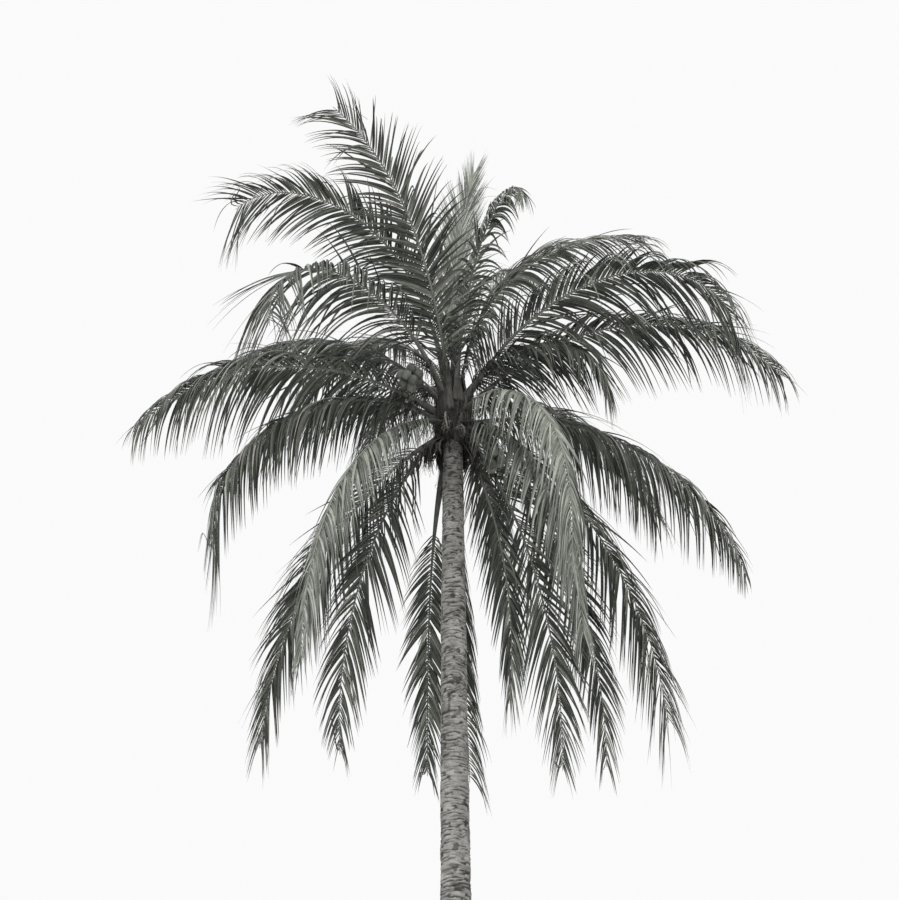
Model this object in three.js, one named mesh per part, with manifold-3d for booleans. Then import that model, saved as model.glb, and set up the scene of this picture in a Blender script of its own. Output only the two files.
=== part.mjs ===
// A coconut palm: a leaning trunk with a swollen foot, a crown heart of leaf sheaths, the fronds
// that spread from it, a young spear, green nuts, dry flower stalks and hanging old sheaths.
// Millimetres and degrees, +Z up, origin at the middle of the flat cut at ground level.

import * as THREE from 'three';
import { mergeVertices } from 'three/addons/utils/BufferGeometryUtils.js';
import Module from 'manifold-3d';

const wasm = await Module();
wasm.setup();

const DOWN = new THREE.Vector3(0, 0, -1);

// Clear space between neighbouring pieces, and between a leaflet and whatever it passes.
const SEAT_GAP = 0.35;
const LEAF_CLEARANCE = 1;
// The overlap, in cubic millimetres, at which two leaflets of one frond count as crossing.
const CROSSING_VOLUME = 0.001;

// The trunk. Its profile is height and radius, and its middle leans to the crown's place.
const CROWN_X = -138;
const CROWN_Y = 180;
const TRUNK_HEIGHT = 13350;
const TRUNK_SIDES = 28;
const LEAN_EASE = 2.2;
const TRUNK_PROFILE = [
  [0, 345], [110, 305], [300, 258], [700, 218], [1500, 194], [3000, 181], [5000, 172], [7000, 164],
  [9000, 156], [10500, 148], [11600, 139], [12500, 130], [TRUNK_HEIGHT, 123],
];
const FOOT_HEIGHT = 1100;
const FOOT_LOBES = 7;
const FOOT_LOBE_DEPTH = 0.09;

// The heart: the bulb of sheaths that the fronds grow from, as height above its foot and radius.
const HEART_SIDES = 20;
const HEART_PROFILE = [
  [0, 142], [90, 186], [260, 214], [480, 216], [680, 192], [860, 150], [1020, 104], [1150, 62],
];
const HEART_TOP = 1210;

// The fronds' ribs. Widths and depths are at the heart, at the first leaflet and at the tip.
const FOOT_WIDTH = 70;
const STALK_WIDTH = 54;
const TIP_WIDTH = 15;
const STALK_DEPTH = 44;
const TIP_DEPTH = 11;
const KEEL_SHARE = 0.6;
const STALK_STEP = 0.045;
const CURVE_STEPS = 48;
// A frond that bends over further than this is two pieces, parted where half its bend is done.
const PARTED_BEND = 105;

// The leaflets, of which each stands for a spray of the real ones.
const LEAVES_A_SIDE = 16;
const LEAF_END_SHARE = 0.985;
const LEAF_PEAK = 0.35;
const LEAF_START_LENGTH = 0.62;
const LEAF_FALL_POWER = 1.6;
const LEAF_FILL = 0.62;
const LEAF_THICKNESS_SHARE = 0.0115;
const LEAF_THICKNESS_LEAST = 8;
const LEAF_KNEE = 0.42;
const KNEE_WEIGHT = 0.35;
const TIP_WEIGHT = 1.6;
const WEIGHT_ALONG_RIB = 0.3;
const SHORTER_TRIES = [1, 0.72, 0.48];

// Each frond: the way it points (from +X towards +Y), its climb at the heart, how far it has
// bent over by its tip, how late that bend comes, its swing sideways, its length, the height of
// its seat above the heart's foot, the bare share of its rib, its longest leaflet and the share of
// that at its tip, how its leaflets open and close towards the tip, lift above the rib and hang,
// and the roll of its blade about the rib.
const SEAT_RADIUS_LOW = 175;
const SEAT_RADIUS_HIGH = 40;
const FROND_DEFAULTS = {
  swing: 0, bare: 0.115, leaf: 1120, tip: 0.5, open: 52, closing: 0.5, lift: 0, hang: 0.6, roll: 0,
};
const UPRIGHT_FRONDS = [
  {
    turn: 250, climb: 70, bend: 70, ease: 1.8, length: 4300, seat: 640,
    swing: -20, leaf: 1100, open: 58, closing: 0.45, tip: 0.7, lift: 4, hang: 0.5, roll: 20,
  },
  {
    turn: 225, climb: 77, bend: 138, ease: 1.8, length: 4800, seat: 680,
    swing: -25, leaf: 950, bare: 0.18, closing: 0.3, tip: 1.1, lift: 8, roll: 30,
  },
  {
    turn: 0, climb: 83, bend: 96, ease: 1.6, length: 4400, seat: 660,
    leaf: 1100, bare: 0.09, lift: 2, hang: 0.9, roll: 3,
  },
  { turn: 291, climb: 77, bend: 158, ease: 2.2, length: 3900, seat: 640, leaf: 650, tip: 0.8, hang: 2.2 },
  {
    turn: 50, climb: 86, bend: 82, ease: 1.8, length: 4300, seat: 790,
    leaf: 600, bare: 0.3, lift: 14, hang: 1.2,
  },
  { turn: 135, climb: 74, bend: 115, ease: 1.4, length: 4200, seat: 640, leaf: 1000, lift: 6, hang: 0.8 },
];
const ARCHING_FRONDS = [
  {
    turn: 330, climb: 58, bend: 138, ease: 1.3, length: 4900, seat: 500,
    leaf: 1350, bare: 0.09, tip: 1, lift: 8, hang: 1, roll: -30,
  },
  {
    turn: 351, climb: 50, bend: 112, ease: 1.3, length: 4850, seat: 450,
    leaf: 1200, bare: 0.09, tip: 0.6, lift: 6, hang: 1.3, roll: -24,
  },
  { turn: 165, climb: 62, bend: 108, ease: 1.2, length: 4600, seat: 540, leaf: 1100, hang: 1.6 },
  {
    turn: 186, climb: 38, bend: 99, ease: 1.15, length: 4450, seat: 420,
    leaf: 1400, tip: 0.35, lift: 8, hang: 1.5, roll: 30,
  },
  {
    turn: 177, climb: 48, bend: 150, ease: 0.88, length: 4450, seat: 300,
    leaf: 1100, closing: 0, tip: 1, lift: -4, hang: 3,
  },
  {
    turn: 13, climb: 23, bend: 102, ease: 1.05, length: 4700, seat: 330,
    leaf: 1350, closing: 0.35, tip: 0.2, lift: -3, hang: 2,
  },
  {
    turn: 222, climb: 64, bend: 166, ease: 1.35, length: 4250, seat: 560,
    leaf: 1500, bare: 0.22, closing: 0.1, tip: 0.8, lift: 2, hang: 1.4,
  },
  { turn: 155, climb: 44, bend: 98, ease: 1.2, length: 3900, seat: 400, hang: 1.6 },
  { turn: 112, climb: 62, bend: 95, ease: 1.2, length: 4600, seat: 520, lift: -2, hang: 1.4 },
  { turn: 80, climb: 45, bend: 95, ease: 1.2, length: 4600, seat: 400, lift: -4, hang: 1.6 },
  { turn: 34, climb: 42, bend: 110, ease: 1.2, length: 3900, seat: 490, leaf: 1300, hang: 1.8 },
  {
    turn: 337, climb: 61, bend: 160, ease: 1.1, length: 2900, seat: 620,
    leaf: 1000, bare: 0.09, lift: 2, hang: 1.6,
  },
];
const HANGING_FRONDS = [
  {
    turn: 222, climb: 8, bend: 100, ease: 0.4, length: 4900, seat: 230,
    leaf: 1000, bare: 0.06, lift: -6, hang: 2.4,
  },
  {
    turn: 305, climb: 32, bend: 135, ease: 0.5, length: 4600, seat: 340,
    leaf: 1000, bare: 0.06, lift: -6, hang: 2.6,
  },
  {
    turn: 310, climb: 0, bend: 88, ease: 0.4, length: 4600, seat: 210,
    leaf: 1000, bare: 0.07, lift: -6, hang: 2.4,
  },
  {
    turn: 138, climb: 9, bend: 97, ease: 0.74, length: 5100, seat: 190,
    leaf: 1250, bare: 0.08, closing: 0.65, lift: 4, hang: 0.8,
  },
  {
    turn: 124, climb: 17, bend: 118, ease: 0.62, length: 4950, seat: 280,
    leaf: 1150, bare: 0.16, open: 54, closing: 0.6, tip: 0.35, lift: -4, hang: 0.9,
  },
  {
    turn: 102, climb: -6, bend: 83, ease: 0.7, length: 4600, seat: 120,
    swing: -15, leaf: 750, bare: 0.3, closing: 0.6, tip: 0.7, lift: 4, hang: 0.7,
  },
  {
    turn: 90, climb: 5, bend: 82, ease: 0.8, length: 5250, seat: 240,
    swing: -9, leaf: 800, bare: 0.26, open: 24, closing: -1.1, tip: 0.9, lift: 4, hang: 2.4,
  },
  {
    turn: 62, climb: 7, bend: 114, ease: 0.55, length: 3850, seat: 170,
    swing: 5, leaf: 900, bare: 0.12, closing: 0.85, tip: 0.7, lift: 4, hang: 1.2,
  },
  {
    turn: 56, climb: 16, bend: 112, ease: 0.5, length: 4950, seat: 270,
    leaf: 1250, closing: 0.6, tip: 0.4, lift: 4, hang: 0.7,
  },
  {
    turn: 48, climb: 21, bend: 116, ease: 0.55, length: 5300, seat: 360,
    leaf: 1100, closing: 0.65, lift: 4, hang: 0.8,
  },
  {
    turn: 38, climb: 21, bend: 107, ease: 0.65, length: 5250, seat: 410,
    leaf: 1250, bare: 0.16, open: 46, closing: 0.2, tip: 0.8, hang: 1.1, roll: 16,
  },
];
const FRONDS = [...UPRIGHT_FRONDS, ...ARCHING_FRONDS, ...HANGING_FRONDS];

// The spear: the youngest frond, still half closed, straight up from the heart.
const SPEAR = {
  turn: 0, climb: 91, bend: 14, ease: 1.6, length: 3950, seat: 860,
  open: 19, closing: 0.3, tip: 0.45, lift: 2, hang: 0, roll: 90,
};
const SPEAR_RADIUS = 14;

// The nuts sit in a round bunch on the end of a bent stalk.
const NUT_RADIUS = 68;
const NUT_SIDES = 7;
const NUT_RINGS = 4;
const NUT_SPREAD = 1.7;
const GOLDEN_ANGLE = 137.5;
const NUT_STALK_RADIUS = 17;
const NUT_STALK_START = 90;
// The stalk's two bends, as shares of the bunch's reach and rise.
const NUT_STALK_BENDS = [[0.55, 0.8], [0.9, 0.85]];
const NUT_BUNCHES = [
  { turn: 205, seat: 500, reach: 600, rise: 500, sag: 130, nuts: 12 },
  { turn: 22, seat: 180, reach: 560, rise: 60, sag: 330, nuts: 8 },
];

// Dry flower stalks, thin and bent down, as turn, seat above the heart's foot, reach and drop.
const TUBE_SIDES = 6;
const TUBE_STEPS = 8;
const FLOWER_STALK_RADIUS = 16;
const STALK_START = 120;
const STALK_RISE = 40;
const STALK_SWING = 14;
const STALK_SHOULDER = 0.75;
const STALK_MIDDLE_DROP = 0.45;
const STALK_END_REACH = 0.85;
const FLOWER_STALKS = [
  { turn: 244, seat: 360, reach: 350, drop: 330 },
  { turn: 292, seat: 170, reach: 300, drop: 150 },
  { turn: 325, seat: 190, reach: 400, drop: 360 },
];

// Old sheaths: dry, fibrous tongues that hang from under the heart beside the trunk.
const TONGUE_THICKNESS = 115;
const TONGUE_THINNING = 0.65;
const TONGUE_NARROWING = 0.55;
const TONGUE_NARROWING_POWER = 1.5;
const TONGUE_BOW = 2.2;
const TONGUES = [
  { turn: 195, width: 150, drop: 460, spread: 204 },
  { turn: 353, width: 150, drop: 460, spread: 180 },
  { turn: 47, width: 98, drop: 350, spread: 54 },
  { turn: 95, width: 98, drop: 380, spread: 48 },
  { turn: 141, width: 96, drop: 370, spread: 54 },
];
const TONGUE_START_RADIUS = 150;
const TONGUE_TOP = 40;
const TONGUE_STEPS = 5;

const FINISHES = {
  bark: { color: 0x8f8a80, roughness: 0.9 },
  heart: { color: 0x3d3a33, roughness: 0.95 },
  frond: { color: 0x55594a, roughness: 0.6 },
  hangingFrond: { color: 0x6e7161, roughness: 0.6 },
  spear: { color: 0x8c9180, roughness: 0.6 },
  nut: { color: 0x7b8068, roughness: 0.55 },
  dry: { color: 0x6f675a, roughness: 0.9 },
  tongue: { color: 0x4b443b, roughness: 0.95 },
};

function radians(degrees) {
  return THREE.MathUtils.degToRad(degrees);
}

// Solids and meshes

function solidFrom(geometry) {
  const bare = geometry.clone();
  bare.deleteAttribute('normal');
  bare.deleteAttribute('uv');
  const merged = mergeVertices(bare, 0.01);
  const vertProperties = new Float32Array(merged.attributes.position.array);
  const triVerts = new Uint32Array(merged.index.array);
  return new wasm.Manifold(new wasm.Mesh({ numProp: 3, vertProperties, triVerts }));
}

function geometryFrom(solid) {
  const mesh = solid.getMesh();
  const geometry = new THREE.BufferGeometry();
  geometry.setAttribute('position', new THREE.BufferAttribute(mesh.vertProperties, 3));
  geometry.setIndex(new THREE.BufferAttribute(mesh.triVerts, 1));
  geometry.computeVertexNormals();
  return geometry;
}

// A closed solid from numbered corners and the faces between them.
class Shell {
  constructor() {
    this.corners = [];
    this.faces = [];
  }

  add(point) {
    this.corners.push(point.x, point.y, point.z);
    return this.corners.length / 3 - 1;
  }

  triangle(a, b, c) {
    this.faces.push(a, b, c);
  }

  quad(a, b, c, d) {
    this.triangle(a, b, c);
    this.triangle(a, c, d);
  }

  solid() {
    const vertProperties = new Float32Array(this.corners);
    const triVerts = new Uint32Array(this.faces);
    return new wasm.Manifold(new wasm.Mesh({ numProp: 3, vertProperties, triVerts }));
  }
}

function largestPiece(solid) {
  const pieces = solid.decompose();
  return pieces.reduce((best, piece) => (piece.volume() > best.volume() ? piece : best));
}

// The trunk

function trunkMiddle(height) {
  const share = Math.min(height / TRUNK_HEIGHT, 1);
  const lean = 1 - (1 - share) ** LEAN_EASE;
  return new THREE.Vector2(CROWN_X * lean, CROWN_Y * lean);
}

function footLobe(height, angle) {
  const fade = Math.max(0, 1 - height / FOOT_HEIGHT) ** 2;
  return 1 + FOOT_LOBE_DEPTH * fade * Math.cos(FOOT_LOBES * angle);
}

function trunkGeometry(extra) {
  const profile = [new THREE.Vector2(0, 0)];
  for (const [height, radius] of TRUNK_PROFILE) {
    profile.push(new THREE.Vector2(radius + extra, height));
  }
  profile.push(new THREE.Vector2(0, TRUNK_HEIGHT));
  const geometry = new THREE.LatheGeometry(profile, TRUNK_SIDES);
  geometry.rotateX(Math.PI / 2);
  const places = geometry.attributes.position;
  for (let i = 0; i < places.count; i += 1) {
    const height = places.getZ(i);
    const middle = trunkMiddle(height);
    const lobe = footLobe(height, Math.atan2(places.getY(i), places.getX(i)));
    places.setX(i, middle.x + places.getX(i) * lobe);
    places.setY(i, middle.y + places.getY(i) * lobe);
  }
  return geometry;
}

// The crown heart

function heartGeometry(extra) {
  const profile = [new THREE.Vector2(0, -extra)];
  for (const [height, radius] of HEART_PROFILE) {
    const drop = height === 0 ? extra : 0;
    profile.push(new THREE.Vector2(radius + extra * 1.3, height - drop));
  }
  profile.push(new THREE.Vector2(0, HEART_TOP + extra * 1.3));
  const geometry = new THREE.LatheGeometry(profile, HEART_SIDES);
  geometry.rotateX(Math.PI / 2);
  geometry.translate(CROWN_X, CROWN_Y, TRUNK_HEIGHT + SEAT_GAP);
  return geometry;
}

// Frond ribs

function ribFrame(frond, share) {
  const climb = radians(frond.climb - frond.bend * share ** frond.ease);
  const turn = radians(frond.turn + frond.swing * share);
  const along = new THREE.Vector3(
    Math.cos(climb) * Math.cos(turn),
    Math.cos(climb) * Math.sin(turn),
    Math.sin(climb),
  );
  const across = new THREE.Vector3(-Math.sin(turn), Math.cos(turn), 0);
  across.applyAxisAngle(along, radians(frond.roll));
  const above = new THREE.Vector3().crossVectors(along, across);
  return { along, across, above };
}

function ribPoint(frond, share) {
  const turn = radians(frond.turn);
  const spread = Math.cos(radians(frond.climb));
  const radius = frond.radius ?? THREE.MathUtils.lerp(SEAT_RADIUS_HIGH, SEAT_RADIUS_LOW, spread);
  const point = new THREE.Vector3(
    CROWN_X + radius * Math.cos(turn),
    CROWN_Y + radius * Math.sin(turn),
    TRUNK_HEIGHT + frond.seat,
  );
  for (let step = 0; step < CURVE_STEPS; step += 1) {
    const middle = (share * (step + 0.5)) / CURVE_STEPS;
    point.addScaledVector(ribFrame(frond, middle).along, (frond.length * share) / CURVE_STEPS);
  }
  return point;
}

function ribWidth(frond, share) {
  const foot = Math.max(0, 1 - share / frond.bare) ** 2;
  return TIP_WIDTH + (STALK_WIDTH - TIP_WIDTH) * (1 - share) + (FOOT_WIDTH - STALK_WIDTH) * foot;
}

function ribDepth(share) {
  return TIP_DEPTH + (STALK_DEPTH - TIP_DEPTH) * (1 - share);
}

// One four-cornered section of the rib, wide above and narrow below.
function ribRing(frond, share) {
  const { across, above } = ribFrame(frond, share);
  const middle = ribPoint(frond, share);
  const half = ribWidth(frond, share) / 2;
  const rise = ribDepth(share) / 2;
  const corner = (side, level) => {
    const width = level > 0 ? half : half * KEEL_SHARE;
    return middle.clone().addScaledVector(across, side * width).addScaledVector(above, level * rise);
  };
  return {
    share,
    middle,
    topLeft: corner(1, 1),
    topRight: corner(-1, 1),
    bottomRight: corner(-1, -1),
    bottomLeft: corner(1, -1),
  };
}

// The rib's sections, in one run or, for a frond that bends right over, in an inner and outer run.
function ribParts(frond) {
  const shares = [];
  const stalkSteps = Math.round(frond.bare / STALK_STEP);
  for (let index = 0; index < stalkSteps; index += 1) {
    shares.push((frond.bare * index) / stalkSteps);
  }
  for (let index = 0; index <= LEAVES_A_SIDE; index += 1) {
    shares.push(THREE.MathUtils.lerp(frond.bare, LEAF_END_SHARE, index / LEAVES_A_SIDE));
  }
  const run = (name, places) => ({ name, rings: places.map((share) => ribRing(frond, share)) });
  if (frond.bend < PARTED_BEND) {
    return [run(frond.name, shares)];
  }
  const middle = 0.5 ** (1 / frond.ease);
  const cut = shares.find((share) => share >= middle);
  const outer = [cut + SEAT_GAP / frond.length, ...shares.filter((share) => share > cut)];
  return [
    run(`${frond.name}_inner`, shares.filter((share) => share <= cut)),
    run(`${frond.name}_outer`, outer),
  ];
}

// Leaflets

function leafPlace(frond, share) {
  return (share - frond.bare) / (1 - frond.bare);
}

function leafLength(frond, share) {
  const place = leafPlace(frond, share);
  const full = frond.leaf;
  if (place < LEAF_PEAK) {
    const grow = Math.sin((place / LEAF_PEAK) * (Math.PI / 2));
    return full * (LEAF_START_LENGTH + (1 - LEAF_START_LENGTH) * grow);
  }
  const fall = ((place - LEAF_PEAK) / (1 - LEAF_PEAK)) ** LEAF_FALL_POWER;
  return full * (1 - (1 - frond.tip) * fall);
}

// The way a leaflet leaves the rib, and the way it points past its knee, bent by its own weight.
function leafDirections(frond, share, side) {
  const { along, across, above } = ribFrame(frond, share);
  const open = radians(frond.open) * (1 - frond.closing * leafPlace(frond, share));
  const lift = radians(frond.lift);
  const outward = new THREE.Vector3();
  outward.addScaledVector(across, side * Math.cos(lift));
  outward.addScaledVector(above, Math.sin(lift));
  const start = new THREE.Vector3();
  start.addScaledVector(along, Math.cos(open));
  start.addScaledVector(outward, Math.sin(open));
  const weight = DOWN.clone().addScaledVector(along, -WEIGHT_ALONG_RIB * DOWN.dot(along));
  const bent = (pull) => start.clone().addScaledVector(weight, frond.hang * pull).normalize();
  return { along, first: bent(KNEE_WEIGHT), second: bent(TIP_WEIGHT) };
}

// The corners of one leaflet: four on the rib, four at its knee, and its tip.
function leafCorners(frond, near, far, side, reach) {
  const share = (near.share + far.share) / 2;
  const { along, first, second } = leafDirections(frond, share, side);
  const length = leafLength(frond, share) * reach;
  const spacing = near.middle.distanceTo(far.middle);
  const forward = along.clone().addScaledVector(first, -along.dot(first));
  const halfWidth = 0.5 * LEAF_FILL * spacing * forward.length();
  forward.normalize();
  const face = new THREE.Vector3().crossVectors(first, forward).multiplyScalar(-side);
  const thickness = Math.max(LEAF_THICKNESS_LEAST, LEAF_THICKNESS_SHARE * length);
  const knee = near.middle.clone().add(far.middle).multiplyScalar(0.5);
  knee.addScaledVector(first, LEAF_KNEE * length);
  const tip = knee.clone().addScaledVector(second, (1 - LEAF_KNEE) * length);
  const kneeCorner = (step, level) => knee.clone()
    .addScaledVector(forward, step * halfWidth)
    .addScaledVector(face, (level * thickness) / 2);
  return {
    nearBottom: kneeCorner(-1, -1),
    farBottom: kneeCorner(1, -1),
    farTop: kneeCorner(1, 1),
    nearTop: kneeCorner(-1, 1),
    tip,
  };
}

// The rib's corners that a leaflet grows from, and its knee's corners in the same order round.
function baseLoop(near, far, side) {
  return side > 0
    ? [far.bottomLeft, near.bottomLeft, near.topLeft, far.topLeft]
    : [near.bottomRight, far.bottomRight, far.topRight, near.topRight];
}

function kneeLoop(leaf, side) {
  return side > 0
    ? [leaf.farBottom, leaf.nearBottom, leaf.nearTop, leaf.farTop]
    : [leaf.nearBottom, leaf.farBottom, leaf.farTop, leaf.nearTop];
}

function addLeaf(shell, base, kneePoints, tipPoint) {
  const knee = kneePoints.map((point) => shell.add(point));
  const tip = shell.add(tipPoint);
  for (let i = 0; i < 4; i += 1) {
    const next = (i + 1) % 4;
    shell.quad(base[i], base[next], knee[next], knee[i]);
    shell.triangle(knee[i], knee[next], tip);
  }
}

function leafSolid(near, far, side, leaf) {
  const shell = new Shell();
  const foot = baseLoop(near, far, side).map((point) => shell.add(point));
  shell.quad(foot[3], foot[2], foot[1], foot[0]);
  addLeaf(shell, foot, kneeLoop(leaf, side), leaf.tip);
  return shell.solid();
}

// A frond in one closed skin: the rib's four sides, with each leaflet growing out of its stretch.
function frondSolid(rings, leaves) {
  const shell = new Shell();
  const corners = rings.map((ring) => ({
    topLeft: shell.add(ring.topLeft),
    topRight: shell.add(ring.topRight),
    bottomRight: shell.add(ring.bottomRight),
    bottomLeft: shell.add(ring.bottomLeft),
  }));
  const first = corners[0];
  const last = corners[corners.length - 1];
  shell.quad(first.bottomLeft, first.bottomRight, first.topRight, first.topLeft);
  shell.quad(last.bottomRight, last.bottomLeft, last.topLeft, last.topRight);
  for (let i = 0; i + 1 < rings.length; i += 1) {
    const near = corners[i];
    const far = corners[i + 1];
    shell.quad(near.topRight, far.topRight, far.topLeft, near.topLeft);
    shell.quad(near.bottomLeft, far.bottomLeft, far.bottomRight, near.bottomRight);
    for (const side of [1, -1]) {
      const leaf = leaves.get(`${i},${side}`);
      const base = baseLoop(near, far, side);
      if (leaf) {
        addLeaf(shell, base, kneeLoop(leaf, side), leaf.tip);
      } else {
        shell.quad(...base);
      }
    }
  }
  return shell.solid();
}

// Tubes along a bent path

function tubeGeometry(path, radius, sides, steps) {
  const outline = new THREE.Shape();
  for (let i = 0; i < sides; i += 1) {
    const angle = (2 * Math.PI * i) / sides;
    const x = radius * Math.cos(angle);
    const y = radius * Math.sin(angle);
    if (i === 0) {
      outline.moveTo(x, y);
    } else {
      outline.lineTo(x, y);
    }
  }
  outline.closePath();
  return new THREE.ExtrudeGeometry(outline, { steps, bevelEnabled: false, extrudePath: path });
}

function crownPoint(turn, radius, height) {
  const angle = radians(turn);
  return new THREE.Vector3(
    CROWN_X + radius * Math.cos(angle),
    CROWN_Y + radius * Math.sin(angle),
    TRUNK_HEIGHT + height,
  );
}

// Nuts, flower stalks and old sheaths

// The bent stalk of a bunch, and the nuts spaced evenly round its end.
function nutBunchSolid(bunch) {
  const end = crownPoint(bunch.turn, bunch.reach, bunch.seat + bunch.rise - bunch.sag);
  const path = new THREE.CubicBezierCurve3(
    crownPoint(bunch.turn, NUT_STALK_START, bunch.seat),
    ...NUT_STALK_BENDS.map(([out, up]) => (
      crownPoint(bunch.turn, bunch.reach * out, bunch.seat + bunch.rise * up)
    )),
    end,
  );
  let solid = solidFrom(tubeGeometry(path, NUT_STALK_RADIUS, TUBE_SIDES, TUBE_STEPS));
  for (let i = 0; i < bunch.nuts; i += 1) {
    const level = 1 - (2 * (i + 0.5)) / bunch.nuts;
    const swirl = radians(i * GOLDEN_ANGLE);
    const beside = NUT_SPREAD * Math.sqrt(1 - level * level);
    const offset = new THREE.Vector3(
      beside * Math.cos(swirl),
      beside * Math.sin(swirl),
      NUT_SPREAD * level,
    );
    const middle = end.clone().addScaledVector(offset, NUT_RADIUS);
    const nut = new THREE.SphereGeometry(NUT_RADIUS, NUT_SIDES, NUT_RINGS);
    nut.rotateX(Math.PI / 2);
    nut.translate(middle.x, middle.y, middle.z);
    solid = solid.add(solidFrom(nut));
  }
  return solid;
}

// A flower stalk leaves the heart level, swings a little to one side and bends down.
function flowerStalkSolid(stalk) {
  const path = new THREE.CubicBezierCurve3(
    crownPoint(stalk.turn, STALK_START, stalk.seat),
    crownPoint(stalk.turn, stalk.reach * STALK_SHOULDER, stalk.seat + STALK_RISE),
    crownPoint(stalk.turn + STALK_SWING / 2, stalk.reach, stalk.seat - stalk.drop * STALK_MIDDLE_DROP),
    crownPoint(stalk.turn + STALK_SWING, stalk.reach * STALK_END_REACH, stalk.seat - stalk.drop),
  );
  return solidFrom(tubeGeometry(path, FLOWER_STALK_RADIUS, TUBE_SIDES, TUBE_STEPS));
}

// A tongue hangs from under the heart, bows out from the trunk and narrows to its torn end.
function tongueSolid(tongue) {
  const shell = new Shell();
  const turn = radians(tongue.turn);
  const outward = new THREE.Vector3(Math.cos(turn), Math.sin(turn), 0);
  const across = new THREE.Vector3(-Math.sin(turn), Math.cos(turn), 0);
  const rings = [];
  for (let step = 0; step <= TONGUE_STEPS; step += 1) {
    const share = step / TONGUE_STEPS;
    const radius = TONGUE_START_RADIUS + tongue.spread * Math.sin(share * TONGUE_BOW);
    const middle = crownPoint(tongue.turn, radius, TONGUE_TOP - tongue.drop * share);
    const half = (tongue.width / 2) * (1 - TONGUE_NARROWING * share ** TONGUE_NARROWING_POWER);
    const thickness = TONGUE_THICKNESS * (1 - TONGUE_THINNING * share);
    const corner = (side, level) => middle.clone()
      .addScaledVector(across, side * half)
      .addScaledVector(outward, (level * thickness) / 2);
    rings.push([corner(1, -1), corner(-1, -1), corner(-1, 1), corner(1, 1)].map((p) => shell.add(p)));
  }
  shell.quad(...rings[0]);
  shell.quad(...[...rings[TONGUE_STEPS]].reverse());
  for (let step = 0; step < TONGUE_STEPS; step += 1) {
    const near = rings[step];
    const far = rings[step + 1];
    for (let i = 0; i < 4; i += 1) {
      const next = (i + 1) % 4;
      shell.quad(near[next], near[i], far[i], far[next]);
    }
  }
  return shell.solid();
}

// Keeping pieces clear of each other

function placed(solid, owner) {
  return { solid, owner, box: solid.boundingBox() };
}

function boxesNear(a, b, margin) {
  return [0, 1, 2].every((axis) => (
    a.min[axis] - margin <= b.max[axis] && b.min[axis] - margin <= a.max[axis]
  ));
}

function isClear(piece, others, owner) {
  return others.every((other) => (
    other.owner === owner
    || !boxesNear(piece.box, other.box, LEAF_CLEARANCE)
    || piece.solid.minGap(other.solid, 2 * LEAF_CLEARANCE) >= LEAF_CLEARANCE
  ));
}

function crosses(piece, sisters) {
  return sisters.some((sister) => (
    boxesNear(piece.box, sister.box, 0) && piece.solid.intersect(sister.solid).volume() > CROSSING_VOLUME
  ));
}

// The leaflets of one run of rib that clear every limb and every leaflet already placed.
function growLeaves(frond, rings, limbs, foliage, sisters) {
  const leaves = new Map();
  for (let i = 0; i + 1 < rings.length; i += 1) {
    for (const side of rings[i].share < frond.bare ? [] : [1, -1]) {
      for (const reach of SHORTER_TRIES) {
        const leaf = leafCorners(frond, rings[i], rings[i + 1], side, reach);
        const piece = placed(leafSolid(rings[i], rings[i + 1], side, leaf), frond.name);
        const free = isClear(piece, limbs, frond.name)
          && isClear(piece, foliage, frond.name)
          && !crosses(piece, sisters);
        if (free) {
          leaves.set(`${i},${side}`, leaf);
          sisters.push(piece);
          break;
        }
      }
    }
  }
  return leaves;
}

// The palm

const palm = new THREE.Group();

function addPiece(name, solid, finish) {
  const material = new THREE.MeshStandardMaterial({ ...finish, metalness: 0 });
  const mesh = new THREE.Mesh(geometryFrom(solid), material);
  mesh.name = name;
  palm.add(mesh);
}

function twoDigits(number) {
  return String(number).padStart(2, '0');
}

const trunk = solidFrom(trunkGeometry(0));
const heart = solidFrom(heartGeometry(0));
const trunkRoom = solidFrom(trunkGeometry(SEAT_GAP));
const heartRoom = solidFrom(heartGeometry(SEAT_GAP));
addPiece('trunk', trunk, FINISHES.bark);
addPiece('crown_heart', heart, FINISHES.heart);

function seated(solid) {
  return largestPiece(solid.subtract(heartRoom).subtract(trunkRoom));
}

const limbs = [placed(trunk, 'trunk'), placed(heart, 'crown_heart')];

NUT_BUNCHES.forEach((bunch, index) => {
  const name = `nut_bunch_${index + 1}`;
  const solid = seated(nutBunchSolid(bunch));
  addPiece(name, solid, FINISHES.nut);
  limbs.push(placed(solid, name));
});
FLOWER_STALKS.forEach((stalk, index) => {
  const name = `flower_stalk_${index + 1}`;
  const solid = seated(flowerStalkSolid(stalk));
  addPiece(name, solid, FINISHES.dry);
  limbs.push(placed(solid, name));
});
TONGUES.forEach((tongue, index) => {
  const name = `old_sheath_${index + 1}`;
  const solid = seated(tongueSolid(tongue));
  addPiece(name, solid, FINISHES.tongue);
  limbs.push(placed(solid, name));
});

const fronds = FRONDS.map((frond, index) => ({
  ...FROND_DEFAULTS,
  ...frond,
  name: `frond_${twoDigits(index + 1)}`,
  finish: HANGING_FRONDS.includes(frond) ? FINISHES.hangingFrond : FINISHES.frond,
}));
fronds.push({
  ...FROND_DEFAULTS, ...SPEAR, name: 'spear', radius: SPEAR_RADIUS, finish: FINISHES.spear,
});

for (const frond of fronds) {
  frond.parts = ribParts(frond);
  for (const part of frond.parts) {
    limbs.push(placed(seated(frondSolid(part.rings, new Map())), frond.name));
  }
}
const foliage = [];
for (const frond of fronds) {
  const sisters = [];
  for (const part of frond.parts) {
    const leaves = growLeaves(frond, part.rings, limbs, foliage, sisters);
    addPiece(part.name, seated(frondSolid(part.rings, leaves)), frond.finish);
  }
  foliage.push(...sisters);
}

export default palm;
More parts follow.
